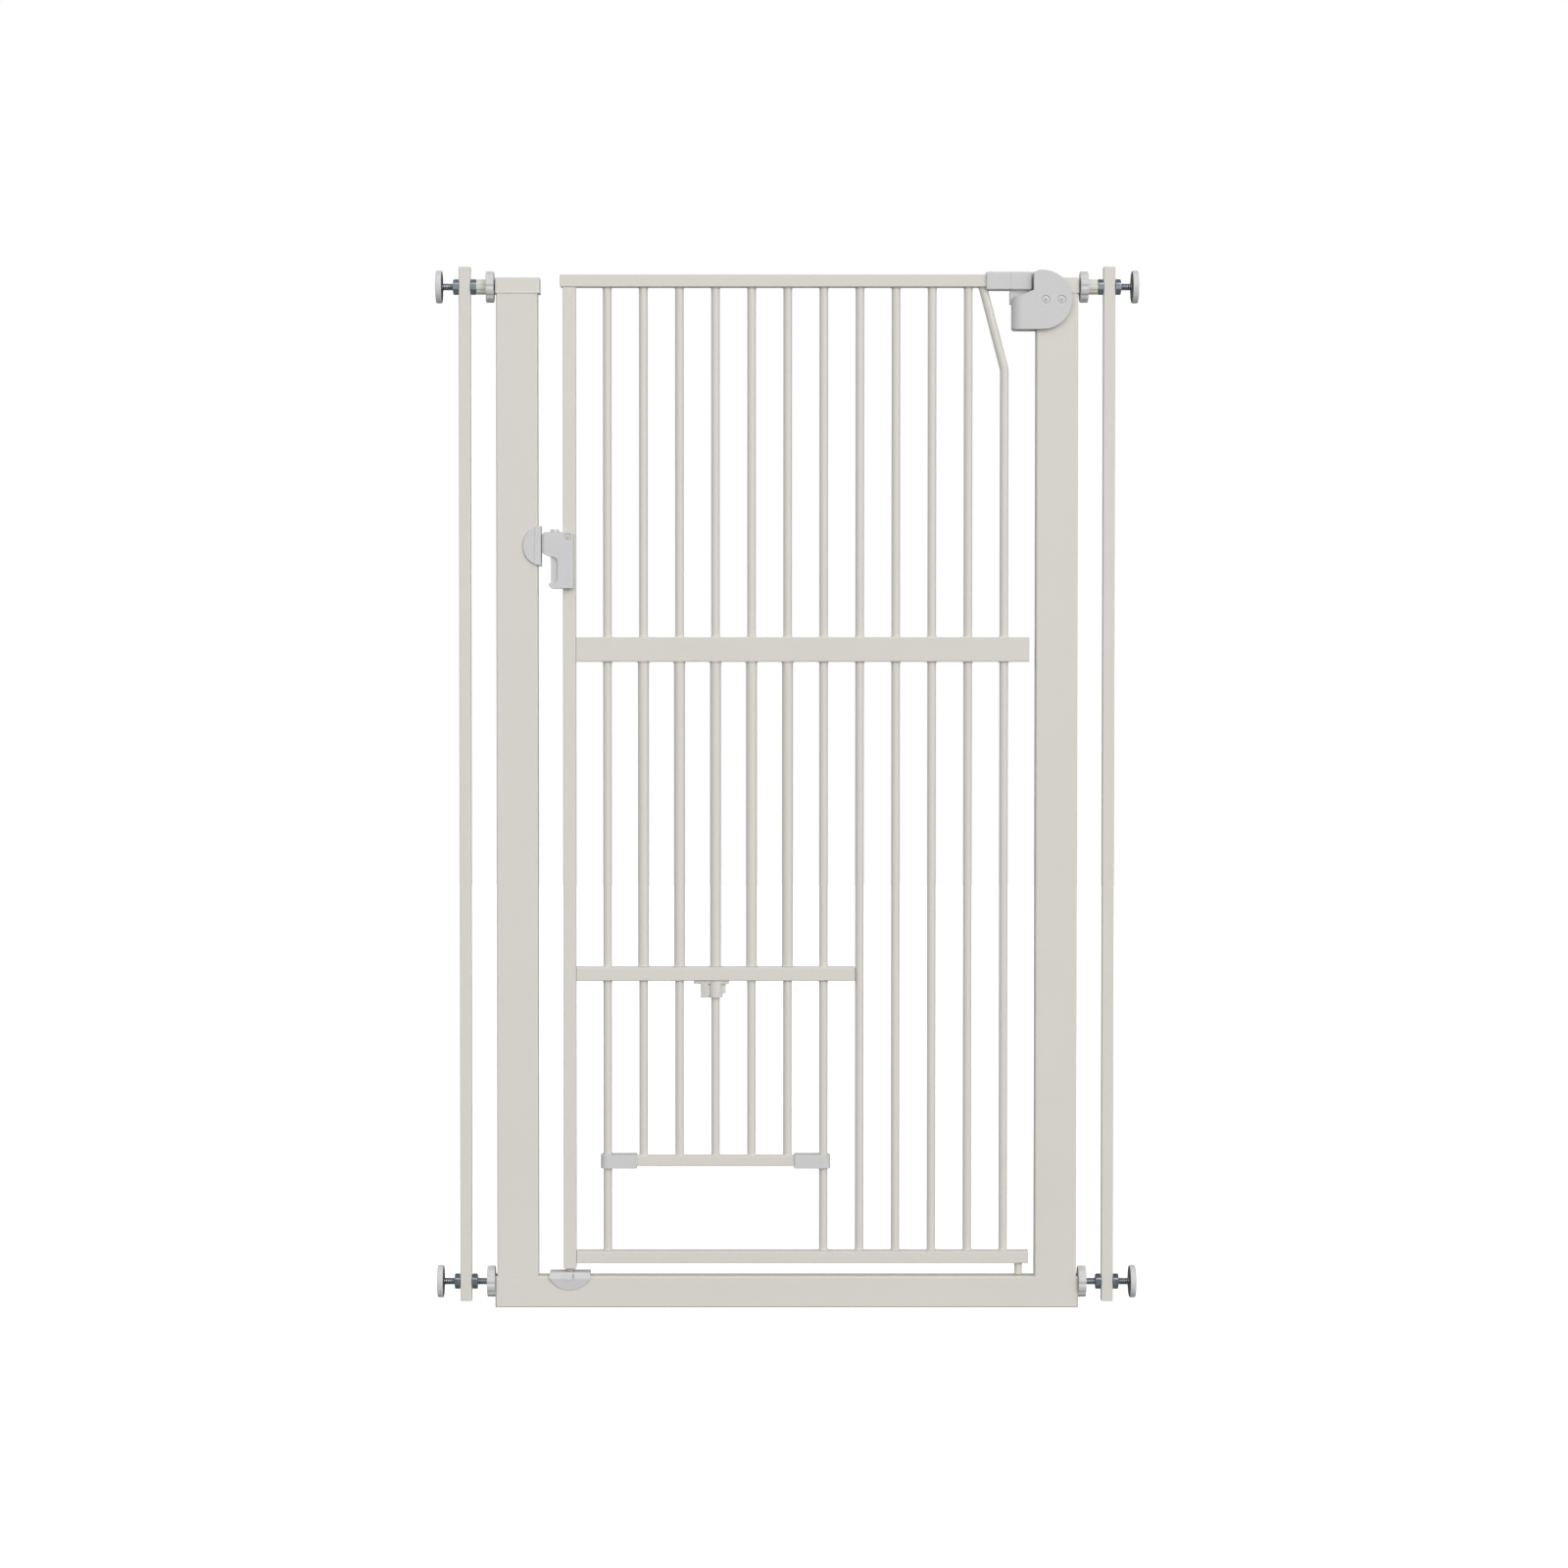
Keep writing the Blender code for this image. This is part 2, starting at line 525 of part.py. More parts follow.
def bore_for_bars(rail, indices, z):
    for index in indices:
        cut_round(rail, "Z", (bar_x(index), 0), BAR_HOLE, z[0] - PAST, z[1] + PAST)
    return rail


def door_rails():
    beside_stile = HINGE_X + TUBE / 2 + GAP
    top = door_rail("top_rail", TOP_RAIL_X, TOP_RAIL_Z, "right")
    middle = door_rail("mid_rail", (beside_stile, DOOR_RIGHT), MID_RAIL_Z, "left")
    bore_for_bars(middle, range(BARS), MID_RAIL_Z)
    lintel_end = bar_x(7) - BAR_RADIUS - GAP
    lintel = door_rail("lintel", (beside_stile, lintel_end), LINTEL_Z, "left")
    bore_for_bars(lintel, range(7), LINTEL_Z)
    low = door_rail("low_rail", (beside_stile, DOOR_RIGHT), LOW_RAIL_Z, "left")
    return [top, middle, lintel, low]


def straight_bar(index):
    """A full-height bar of round tube."""
    centre = (bar_x(index), 0)
    low, high = LOW_RAIL_Z[1] + GAP, TOP_RAIL_Z[0] - GAP
    outer, bore = circle(centre, BAR_RADIUS), circle(centre, BAR_BORE)
    return hollow_prism(f"bar_{index + 1:02d}", outer, bore, "Z", low, high, smooth=True)


def telescope_bar(index):
    """A bar whose lower part is a wider tube that a pet door bar slides up into."""
    low, shoulder, high = LINTEL_Z[1] + GAP, MID_RAIL_Z[0] - GAP, TOP_RAIL_Z[0] - GAP
    profile = [
        (SLEEVE_TUBE_BORE, low), (SLEEVE_TUBE_RADIUS, low), (SLEEVE_TUBE_RADIUS, shoulder),
        (BAR_RADIUS, shoulder), (BAR_RADIUS, high), (BAR_BORE, high),
        (BAR_BORE, shoulder - 0.002), (SLEEVE_TUBE_BORE, shoulder - 0.002),
    ]
    return turned(f"bar_{index + 1:02d}", profile, "Z", (bar_x(index), 0))


def bent_bar(index):
    """The last bar, which leans in at the top to clear the latch."""
    x, low, high = bar_x(index), LOW_RAIL_Z[1] + GAP, TOP_RAIL_Z[0] - GAP
    lean = math.atan2(x - BENT_BAR_TOP_X, high - BEND_Z)
    tangent = BEND_RADIUS * math.tan(lean / 2)
    path = [(Vector((x, 0, low)), 0.0)]
    steps = 3
    for i in range(steps + 1):
        turn = lean * i / steps
        across = x - BEND_RADIUS * (1 - math.cos(turn))
        up = BEND_Z - tangent + BEND_RADIUS * math.sin(turn)
        path.append((Vector((across, 0, up)), turn))
    path.append((Vector((BENT_BAR_TOP_X, 0, high)), 0.0))
    bm = bmesh.new()
    rings = []
    for radius in (BAR_RADIUS, BAR_BORE):
        for point, turn in path:
            # the cut at the top is level, so there the ring is stretched along X
            stretch = 1 / math.cos(lean) if point.z == high else 1.0
            tilt = Matrix.Rotation(-turn, 3, "Y")
            rings.append([
                bm.verts.new(point + tilt @ Vector((a * stretch, b, 0)))
                for a, b in circle((0, 0), radius)
            ])
    count = len(path)
    outer, bore = rings[:count], rings[count:]
    for tube in (outer, bore):
        for ring, other in zip(tube, tube[1:]):
            join_rings(bm, ring, other)
    join_rings(bm, outer[0], bore[0])
    join_rings(bm, outer[-1], bore[-1])
    return as_object(f"bar_{index + 1:02d}", bm, smooth=True)


def door_bars():
    made = []
    for index in range(BARS):
        if index in PET_BARS:
            made.append(telescope_bar(index))
        elif index == BARS - 1:
            made.append(bent_bar(index))
        else:
            made.append(straight_bar(index))
    return made


def stop_pin():
    top, r = LOW_RAIL_Z[0] - GAP, STOP_PIN_RADIUS
    profile = [(0, STOP_PIN_END), (r - 0.001, STOP_PIN_END), (r, STOP_PIN_END + 0.001)]
    profile += [(r, top), (0, top)]
    return turned("stop_pin", profile, "Z", (STOP_PIN_X, 0))


def handle_end():
    """The cap on the top rail's free end, with the tongue that drops into the latch."""
    x0, x1 = HANDLE_X[1] + GAP, HANDLE_X[2]
    cap = box("handle_end", (x0, -HANDLE_DEPTH, HANDLE_Z[0]), (x1, HANDLE_DEPTH, HANDLE_Z[1]))
    tongue = box(
        "tongue", (TONGUE_X[0], -TONGUE_DEPTH, TONGUE_BOTTOM),
        (TONGUE_X[1], TONGUE_DEPTH, HANDLE_Z[0] + 0.001),
    )
    side = TONGUE_DEPTH + PAST
    cut_box(tongue, (x0 - PAST, -side, HANDLE_Z[0] - GAP), (x0 + 0.0001, side, HANDLE_Z[1]))
    join(cap, tongue)
    half = TUBE / 2 + GAP
    low, high = TOP_RAIL_Z[0] - GAP, TOP_RAIL_Z[1] + GAP
    return cut_box(cap, (x0 - PAST, -half, low), (TOP_RAIL_X[1] + GAP, half, high))


def handle_slider():
    """The thumb slider: an upturned channel over the top rail, which slides along it."""
    x0, x1 = HANDLE_X[0], HANDLE_X[1] - GAP
    low, high = HANDLE_Z
    outline = round_rect((0, (low + high) / 2), 2 * HANDLE_DEPTH, high - low, HANDLE_CORNER, 1)
    slider = prism("handle_slider", outline, "X", x0, x1)
    half = TUBE / 2 + SLIDER_GAP
    return cut_box(
        slider, (x0 - PAST, -half, low - PAST), (x1 + PAST, half, TOP_RAIL_Z[1] + GAP)
    )


# ---------------------------------------------------------------- pet door and its lock
def pet_grille():
    """Five bars welded to a rail. They slide up into the wider tubes above the lintel."""
    x0 = bar_x(0) - CLIP_PAST_BAR + CLIP_LENGTH - PET_RAIL_INTO_CLIP
    x1 = bar_x(6) + CLIP_PAST_BAR - CLIP_LENGTH + PET_RAIL_INTO_CLIP
    half, wall = PET_RAIL_DEPTH / 2, TUBE_WALL
    low, high = PET_RAIL_Z
    rail = box("pet_grille", (x0, -half, low), (x1, half, high))
    for index in PET_BARS:
        centre = (bar_x(index), 0)
        bar = prism("pet_bar", circle(centre, BAR_RADIUS), "Z", high - wall / 2, PET_BAR_TOP)
        join(rail, bar)
        cut_round(rail, "Z", centre, BAR_BORE, high + 0.001, PET_BAR_TOP + PAST)
    return cut_box(
        rail, (x0 - PAST, -half + wall, low + wall), (x1 + PAST, half - wall, high - wall)
    )


def pet_clip(side_name):
    """A moulded clip that runs on a guide bar and holds the end of the pet door's rail."""
    side = SIDES[side_name]
    middle = (bar_x(0) + bar_x(6)) / 2
    bar = bar_x(6) - middle
    outer, inner = bar + CLIP_PAST_BAR, bar + CLIP_PAST_BAR - CLIP_LENGTH
    front, back = CLIP_Y
    ends = sorted((middle + side * inner, middle + side * outer))
    centre = ((ends[0] + ends[1]) / 2, (front + back) / 2)
    outline = round_rect(centre, ends[1] - ends[0], back - front, CLIP_CORNER)
    clip = prism(f"pet_clip_{side_name}", outline, "Z", *CLIP_Z)
    low, high = CLIP_Z[0] - PAST, CLIP_Z[1] + PAST
    cut_round(clip, "Z", (middle + side * bar, 0), BAR_HOLE, low, high)
    pocket_half = PET_RAIL_DEPTH / 2 + GAP
    reach = inner + PET_RAIL_INTO_CLIP + GAP
    pocket = sorted((middle + side * (inner - PAST), middle + side * reach))
    return cut_box(
        clip, (pocket[0], -pocket_half, PET_RAIL_Z[0] - GAP),
        (pocket[1], pocket_half, PET_RAIL_Z[1] + GAP),
    )


def pet_lock_body():
    """A flange and collar under the lintel, round the middle bar of the pet door."""
    x, half = bar_x(3), LOCK_FLANGE_DEPTH
    body = box(
        "pet_lock_body", (LOCK_FLANGE_X[0], -half, LOCK_FLANGE_Z[0]),
        (LOCK_FLANGE_X[1], half, LOCK_FLANGE_Z[1]),
    )
    top = LOCK_FLANGE_Z[1] - 0.0002
    join(body, prism("collar", circle((x, 0), LOCK_COLLAR_RADIUS, 24), "Z", LOCK_BOTTOM, top))
    top = LOCK_FLANGE_Z[0] + 0.001
    near, far = LOCK_TAB_REACH
    join(body, box("tab", (x + near, -LOCK_TAB_DEPTH, LOCK_TAB_BOTTOM), (x + far, LOCK_TAB_DEPTH, top)))
    cut_round(body, "Z", (x, 0), BAR_HOLE, LOCK_BOTTOM - PAST, LOCK_FLANGE_Z[1] + PAST)
    (far, near), (low, high) = LOCK_WINDOW_REACH, LOCK_WINDOW_Z
    side = BUTTON_NOSE_DEPTH + GAP
    return cut_box(body, (x - far, -side, low), (x - near, side, high))


def pet_lock_button():
    """The push button, which straddles the flange. Its nose enters the collar's side."""
    x = bar_x(3)
    left, nose_end, hollow = x - BUTTON_REACH[0], x - BUTTON_REACH[2], BUTTON_REACH[1]
    half, high, rib = BUTTON_DEPTH, LOCK_FLANGE_Z[1] - GAP, BUTTON_RIB
    turn = math.degrees(math.asin(half / hollow))
    outline = [(left, half), (left, -half)] + arc((x, 0), hollow, 180 + turn, 180 - turn, 8)
    button = prism("pet_lock_button", outline, "Z", BUTTON_BOTTOM, high)
    slot = LOCK_FLANGE_DEPTH + GAP
    cut_box(button, (left - PAST, -slot, LOCK_FLANGE_Z[0] - GAP), (x, slot, high + PAST))
    for k in range(BUTTON_GROOVES):
        z = BUTTON_GROOVE_Z + k * 3 * rib
        cut_box(button, (left - PAST, -PAST, z), (left + BUTTON_GROOVE, PAST, z + rib))
    half, (low, high) = BUTTON_NOSE_DEPTH, BUTTON_NOSE_Z
    root = x - hollow - 0.001
    return join(button, box("nose", (root, -half, low), (nose_end, half, high)))


# ---------------------------------------------------------------- wall spindles
def spindle(side_name, level):
    """A threaded rod with its outer nut, which is fixed on it."""
    side, z = SIDES[side_name], SPINDLE_Z[level]
    pad_face = WALL_REACH - PAD_THICKNESS - GAP
    rod = prism(
        f"rod_{side_name}_{level}", circle((0, z), ROD_RADIUS), "X",
        *along(side, ROD_INNER_END, pad_face), smooth=True,
    )
    start = SIDE_BAR_X + SIDE_BAR_SIZE / 2 + GAP
    nut = prism("nut", hexagon(z), "X", *along(side, start, start + NUT_THICKNESS))
    return join(rod, nut)


def hexagon(z):
    """A nut's outline across the spindle, with a corner up."""
    return [
        (NUT_RADIUS * math.sin(k * math.pi / 3), z + NUT_RADIUS * math.cos(k * math.pi / 3))
        for k in range(6)
    ]


def lock_nut(side_name, level):
    """The loose nut that clamps the side bar against the fixed one."""
    side, z = SIDES[side_name], SPINDLE_Z[level]
    end = SIDE_BAR_X - SIDE_BAR_SIZE / 2 - GAP
    span = along(side, end - NUT_THICKNESS, end)
    nut = prism(f"nut_{side_name}_{level}", hexagon(z), "X", *span)
    return cut_round(nut, "X", (0, z), THREAD_BORE, span[0] - PAST, span[1] + PAST)


def pad(side_name, level):
    side, z = SIDES[side_name], SPINDLE_Z[level]
    inner, outer, r, e = WALL_REACH - PAD_THICKNESS, WALL_REACH, PAD_RADIUS, PAD_ROUND
    profile = [(0, inner), (r - e, inner), (r, inner + e), (r, outer - e), (r - e, outer), (0, outer)]
    profile = [(radius, side * x) for radius, x in profile]
    return turned(f"pad_{side_name}_{level}", profile, "X", (0, z), 32)


def hand_wheel(side_name, level):
    """A scalloped hand wheel that bears on the frame and drives the spindle outward."""
    side, z = SIDES[side_name], SPINDLE_Z[level]
    steps = 4 * WHEEL_LOBES
    outer, bore = [], []
    for i in range(steps):
        a = 2 * math.pi * i / steps
        r = WHEEL_RADIUS - WHEEL_SCALLOP * max(0.0, -math.cos(WHEEL_LOBES * a)) ** 0.5
        outer.append((r * math.cos(a), z + r * math.sin(a)))
        bore.append((THREAD_BORE * math.cos(a), z + THREAD_BORE * math.sin(a)))
    span = along(side, WHEEL_INNER, WHEEL_INNER + WHEEL_WIDTH)
    return hollow_prism(f"hand_wheel_{side_name}_{level}", outer, bore, "X", *span, smooth=True)


def spacer_sleeve(side_name):
    """The ribbed sleeve on each top spindle, between the hand wheel and the nut."""
    side, z = SIDES[side_name], SPINDLE_Z["top"]
    steps = 4 * SLEEVE_RIBS
    outer, bore = [], []
    for i in range(steps):
        a = 2 * math.pi * (i + 0.5) / steps
        r = SLEEVE_RADIUS - (SLEEVE_GROOVE if i % 4 == 0 else 0.0)
        outer.append((r * math.cos(a), z + r * math.sin(a)))
        bore.append((THREAD_BORE * math.cos(a), z + THREAD_BORE * math.sin(a)))
    start = WHEEL_INNER + WHEEL_WIDTH + GAP
    end = SIDE_BAR_X - SIDE_BAR_SIZE / 2 - NUT_THICKNESS - 2 * GAP
    span = along(side, start, end)
    return hollow_prism(f"sleeve_{side_name}_top", outer, bore, "X", *span, smooth=True)


def side_bar(side_name):
    """The upright square tube outside each post, bored for both spindles."""
    side = SIDES[side_name]
    half, wall = SIDE_BAR_SIZE / 2, SIDE_BAR_WALL
    x = side * SIDE_BAR_X
    low, high = SIDE_BAR_Z
    bar = box(f"side_bar_{side_name}", (x - half, -half, low), (x + half, half, high))
    inside = half - wall
    cut_box(bar, (x - inside, -inside, low + wall), (x + inside, inside, high - wall))
    for z in SPINDLE_Z.values():
        cut_round(bar, "X", (0, z), ROD_HOLE, x - half - PAST, x + half + PAST)
    return bar


# ---------------------------------------------------------------- assembly
def empty(name, place, parent=None):
    """The axis of a moving body, which its pieces hang on."""
    made = bpy.data.objects.new(name, None)
    made.empty_display_size = 0.05
    bpy.context.scene.collection.objects.link(made)
    made.parent = parent
    made.location = Vector(place) - (Vector(parent["place"]) if parent else Vector())
    made["place"] = tuple(place)
    return made


def hang(pieces, axis, finish):
    """Gives pieces their finish and moves their origins onto the body's axis."""
    place = Vector(axis["place"])
    for piece in pieces:
        piece.data.transform(Matrix.Translation(-place))
        piece.parent = axis
        piece.data.materials.clear()
        piece.data.materials.append(finish)


def build():
    for old in list(bpy.data.objects):
        bpy.data.objects.remove(old)
    finish = make_materials()
    enamel, plastic, zinc = finish["enamel"], finish["plastic"], finish["zinc"]

    frame = empty("frame", (0, 0, 0))
    hang([floor_rail()] + [post(s) for s in SIDES] + [post_cap(s) for s in SIDES], frame, enamel)
    hang([rail_plug(s) for s in SIDES], frame, plastic)
    hang([latch_housing("front"), latch_housing("back")], frame, plastic)
    hang([upper_saddle(), hinge_block(), hinge_pin(), lower_saddle()], frame, plastic)

    swing = empty("door_swing", (HINGE_X, 0, 0), frame)
    hang([hinge_bush()], swing, plastic)
    door = empty("door", (HINGE_X, 0, 0), swing)
    hang([stile(), *door_rails(), *door_bars(), stop_pin()], door, enamel)
    hang([foot_pivot(), handle_end()], door, plastic)
    hang([pet_lock_body()], door, finish["lock_plastic"])
    thumb = empty("slider", (HANDLE_X[0], 0, TOP_RAIL_Z[1]), door)
    hang([handle_slider()], thumb, plastic)
    pet_door = empty("pet_door", (bar_x(3), 0, PET_RAIL_Z[0]), door)
    hang([pet_grille()], pet_door, enamel)
    hang([pet_clip(s) for s in SIDES], pet_door, plastic)
    button = empty("lock_button", (bar_x(3), 0, LOCK_BOTTOM), door)
    hang([pet_lock_button()], button, finish["lock_plastic"])

    for side_name, side in SIDES.items():
        group = empty(f"{side_name}_extension", (side * SIDE_BAR_X, 0, 0), frame)
        hang([side_bar(side_name)], group, enamel)
        hang([spacer_sleeve(side_name)], group, finish["sleeve_plastic"])
        for level, z in SPINDLE_Z.items():
            hang([spindle(side_name, level), lock_nut(side_name, level)], group, zinc)
            hang([pad(side_name, level)], group, finish["pad_rubber"])
            wheel = empty(f"{side_name}_{level}_wheel", (side * WHEEL_INNER, 0, z), frame)
            hang([hand_wheel(side_name, level)], wheel, plastic)


build()
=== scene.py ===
"""The looks of the pet gate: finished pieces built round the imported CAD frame, with their
materials, the studio and the camera. Units are metres, in the CAD model's own frame."""
import json
import math

import bmesh
import bpy
from mathutils import Matrix, Vector

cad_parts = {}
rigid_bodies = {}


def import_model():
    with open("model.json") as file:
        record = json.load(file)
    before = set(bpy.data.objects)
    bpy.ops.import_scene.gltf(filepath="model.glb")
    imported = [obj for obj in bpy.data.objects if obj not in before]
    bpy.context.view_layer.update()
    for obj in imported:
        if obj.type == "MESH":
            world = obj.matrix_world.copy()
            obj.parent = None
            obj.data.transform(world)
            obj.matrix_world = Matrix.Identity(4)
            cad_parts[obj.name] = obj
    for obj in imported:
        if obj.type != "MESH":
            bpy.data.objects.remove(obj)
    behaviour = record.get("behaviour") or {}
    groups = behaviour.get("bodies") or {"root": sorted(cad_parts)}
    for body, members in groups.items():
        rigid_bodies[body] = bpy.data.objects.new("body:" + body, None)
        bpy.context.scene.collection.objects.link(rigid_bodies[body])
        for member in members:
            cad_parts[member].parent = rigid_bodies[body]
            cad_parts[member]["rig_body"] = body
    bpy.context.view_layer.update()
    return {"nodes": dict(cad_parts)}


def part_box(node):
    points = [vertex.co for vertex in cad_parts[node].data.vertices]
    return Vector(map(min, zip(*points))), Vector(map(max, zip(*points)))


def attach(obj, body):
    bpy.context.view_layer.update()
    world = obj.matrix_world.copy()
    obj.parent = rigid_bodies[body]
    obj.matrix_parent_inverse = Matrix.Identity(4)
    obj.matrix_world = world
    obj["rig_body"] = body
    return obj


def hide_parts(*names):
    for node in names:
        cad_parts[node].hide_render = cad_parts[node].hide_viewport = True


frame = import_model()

SIDES = {"left": -1, "right": 1}
LEVELS = ("bottom", "top")
GAP = 0.0003  # the play between pieces that fit into each other
PAST = 0.01  # how far a cutting tool reaches beyond a face


# -------------------- where the CAD pieces are
def spans(node):
    """A CAD node's extent along X, Y and Z."""
    low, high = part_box(node)
    return (low.x, high.x), (low.y, high.y), (low.z, high.z)


def middle(span):
    return (span[0] + span[1]) / 2


def length(span):
    return span[1] - span[0]


def shrink(span, by):
    return span[0] + by, span[1] - by


# -------------------- outlines
def arc(centre, radius, start, end, steps):
    """Points on an arc, its angles in degrees. radius may be a pair, for an ellipse."""
    rx, ry = radius if isinstance(radius, tuple) else (radius, radius)
    angles = [math.radians(start + (end - start) * i / steps) for i in range(steps + 1)]
    return [(centre[0] + rx * math.cos(a), centre[1] + ry * math.sin(a)) for a in angles]


def circle(centre, radius, count=32):
    return arc(centre, radius, 0, 360 - 360 / count, count - 1)


def round_rect(across, up, corner, steps=4):
    """A rectangle over two spans, its corners rounded. corner may give all four, from the
    upper right one round to the lower right."""
    radii = corner if isinstance(corner, tuple) else (corner,) * 4
    (x0, x1), (y0, y1) = across, up
    places = ((x1, y1, -1, -1), (x0, y1, 1, -1), (x0, y0, 1, 1), (x1, y0, -1, 1))
    points = []
    for k, (x, y, sx, sy) in enumerate(places):
        r = radii[k]
        points += arc((x + sx * r, y + sy * r), r, 90 * k, 90 * k + 90, steps)
    return points


def inset(outline, amount):
    """An outline moved inwards by amount, corner by corner."""
    count = len(outline)
    area = sum(
        outline[i - 1][0] * outline[i][1] - outline[i][0] * outline[i - 1][1]
        for i in range(count)
    )
    turn = 1 if area > 0 else -1
    moved = []
    for i in range(count):
        before, here, after = (Vector(outline[(i + k) % count]) for k in (-1, 0, 1))
        normals = [
            Vector((-edge.y, edge.x)).normalized() * turn
            for edge in (here - before, after - here)
        ]
        across = (normals[0] + normals[1]).normalized()
        moved.append(tuple(here + across * amount / max(0.5, across.dot(normals[0]))))
    return moved


def bore_like(outline, centre, radius):
    """A round bore with one point for each point of the outline round it."""
    points = []
    for x, y in outline:
        a = math.atan2(y - centre[1], x - centre[0])
        points.append((centre[0] + radius * math.cos(a), centre[1] + radius * math.sin(a)))
    return points


# -------------------- meshes
def on_axis(axis, across, up, along):
    return {"X": (along, across, up), "Y": (across, along, up), "Z": (across, up, along)}[axis]


def as_object(name, bm):
    """A mesh made into an object with outward faces."""
    bmesh.ops.remove_doubles(bm, verts=bm.verts, dist=1e-7)
    bmesh.ops.recalc_face_normals(bm, faces=bm.faces)
    mesh = bpy.data.meshes.new(name)
    bm.to_mesh(mesh)
    bm.free()
    made = bpy.data.objects.new(name, mesh)
    bpy.context.scene.collection.objects.link(made)
    return made


def join_rings(bm, ring, other):
    count = len(ring)
    for i in range(count):
        k = (i + 1) % count
        bm.faces.new((ring[i], ring[k], other[k], other[i]))


def loft(name, rings, closed=False):
    """A skin over rings of points: a solid with flat ends, or a closed loop such as a tube."""
    bm = bmesh.new()
    made = [[bm.verts.new(p) for p in ring] for ring in rings]
    for ring, other in zip(made, made[1:]):
        join_rings(bm, ring, other)
    if closed:
        join_rings(bm, made[-1], made[0])
    else:
        bm.faces.new(made[0])
        bm.faces.new(made[-1])
    return as_object(name, bm)


def levels(outline, axis, span, edge, steps=3):
    """Rings up the side of a prism with rounded end edges."""
    low, high = span
    first, last = edge if isinstance(edge, tuple) else (edge, edge)
    places = []
    for k in range(steps + 1 if first else 1):
        a = math.pi / 2 * k / steps
        places.append((first * (1 - math.sin(a)), low + first * (1 - math.cos(a))))
    for k in range(steps + 1 if last else 1):
        a = math.pi / 2 * (1 - k / steps)
        places.append((last * (1 - math.sin(a)), high - last * (1 - math.cos(a))))
    return [
        [on_axis(axis, *p, along) for p in (inset(outline, by) if by else outline)]
        for by, along in places
    ]


def pillow(name, outline, axis, span, edge=0.0, steps=3):
    """A prism along an axis with rounded end edges. edge may be a pair, for the two ends."""
    return loft(name, levels(outline, axis, span, edge, steps))


def sleeve(name, outline, bore, axis, span, edge=0.0, bore_edge=0.0002, steps=3):
    """A pillow with a bore right through it. The bore has as many points as the outline."""
    outside = levels(outline, axis, span, edge, steps)
    inside = [
        [on_axis(axis, *p, along) for p in (inset(bore, -by) if by else bore)]
        for by, along in (
            (bore_edge, span[1]), (0, span[1] - bore_edge),
            (0, span[0] + bore_edge), (bore_edge, span[0]),
        )
    ]
    return loft(name, outside + inside, closed=True)


def turned(name, profile, axis, centre, closed=False, count=32):
    """A profile of (radius, height) turned about an axis through centre."""
    rings = [
        [on_axis(axis, *p, height) for p in circle(centre, radius, count)]
        for radius, height in profile
    ]
    return loft(name, rings, closed)


def box(span_x, span_y, span_z):
    return pillow("tool", round_rect(span_x, span_y, 0.0, 1), "Z", span_z)


def keep_evaluated(target):
    """Turns a piece's modifiers into real geometry."""
    graph = bpy.context.evaluated_depsgraph_get()
    mesh = bpy.data.meshes.new_from_object(target.evaluated_get(graph))
    target.modifiers.clear()
    old, target.data = target.data, mesh
    bpy.data.meshes.remove(old)


def combine(target, tool, operation):
    """Cuts, joins or intersects target with tool, and removes tool."""
    modifier = target.modifiers.new(operation.lower(), "BOOLEAN")
    modifier.operation = operation
    modifier.object = tool
    modifier.solver = "EXACT"
    keep_evaluated(target)
    bpy.data.objects.remove(tool)
    return target


def cut(target, *tools):
    for tool in tools:
        combine(target, tool, "DIFFERENCE")
    return target


def join(target, *tools):
    for tool in tools:
        combine(target, tool, "UNION")
    return target


def drill(target, axis, centre, radius, span, count=24):
    return cut(target, pillow("drill", circle(centre, radius, count), axis, span))


def soften(target, width, segments=3, angle=32):
    """Rounds every edge sharper than angle."""
    modifier = target.modifiers.new("soften", "BEVEL")
    modifier.width = width
    modifier.segments = segments
    modifier.limit_method = "ANGLE"
    modifier.angle_limit = math.radians(angle)
    modifier.harden_normals = False
    keep_evaluated(target)
    return target


def piece(made, slot, *nodes):
    """Gives a finished piece its material and its body, names it after the first CAD node that it
    stands for, and hides those CAD nodes.
    """
    mesh = made.data
    mesh.shade_smooth()
    mesh.set_sharp_from_angle(angle=math.radians(42))
    weighted = made.modifiers.new("weighted", "WEIGHTED_NORMAL")
    weighted.keep_sharp = True
    weighted.weight = 80
    made.name = f"{nodes[0]}_finished"
    mesh.name = made.name
    mesh.materials.clear()
    mesh.materials.append(MATERIALS[slot])
    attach(made, frame["nodes"][nodes[0]]["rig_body"])
    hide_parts(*nodes)
    return made


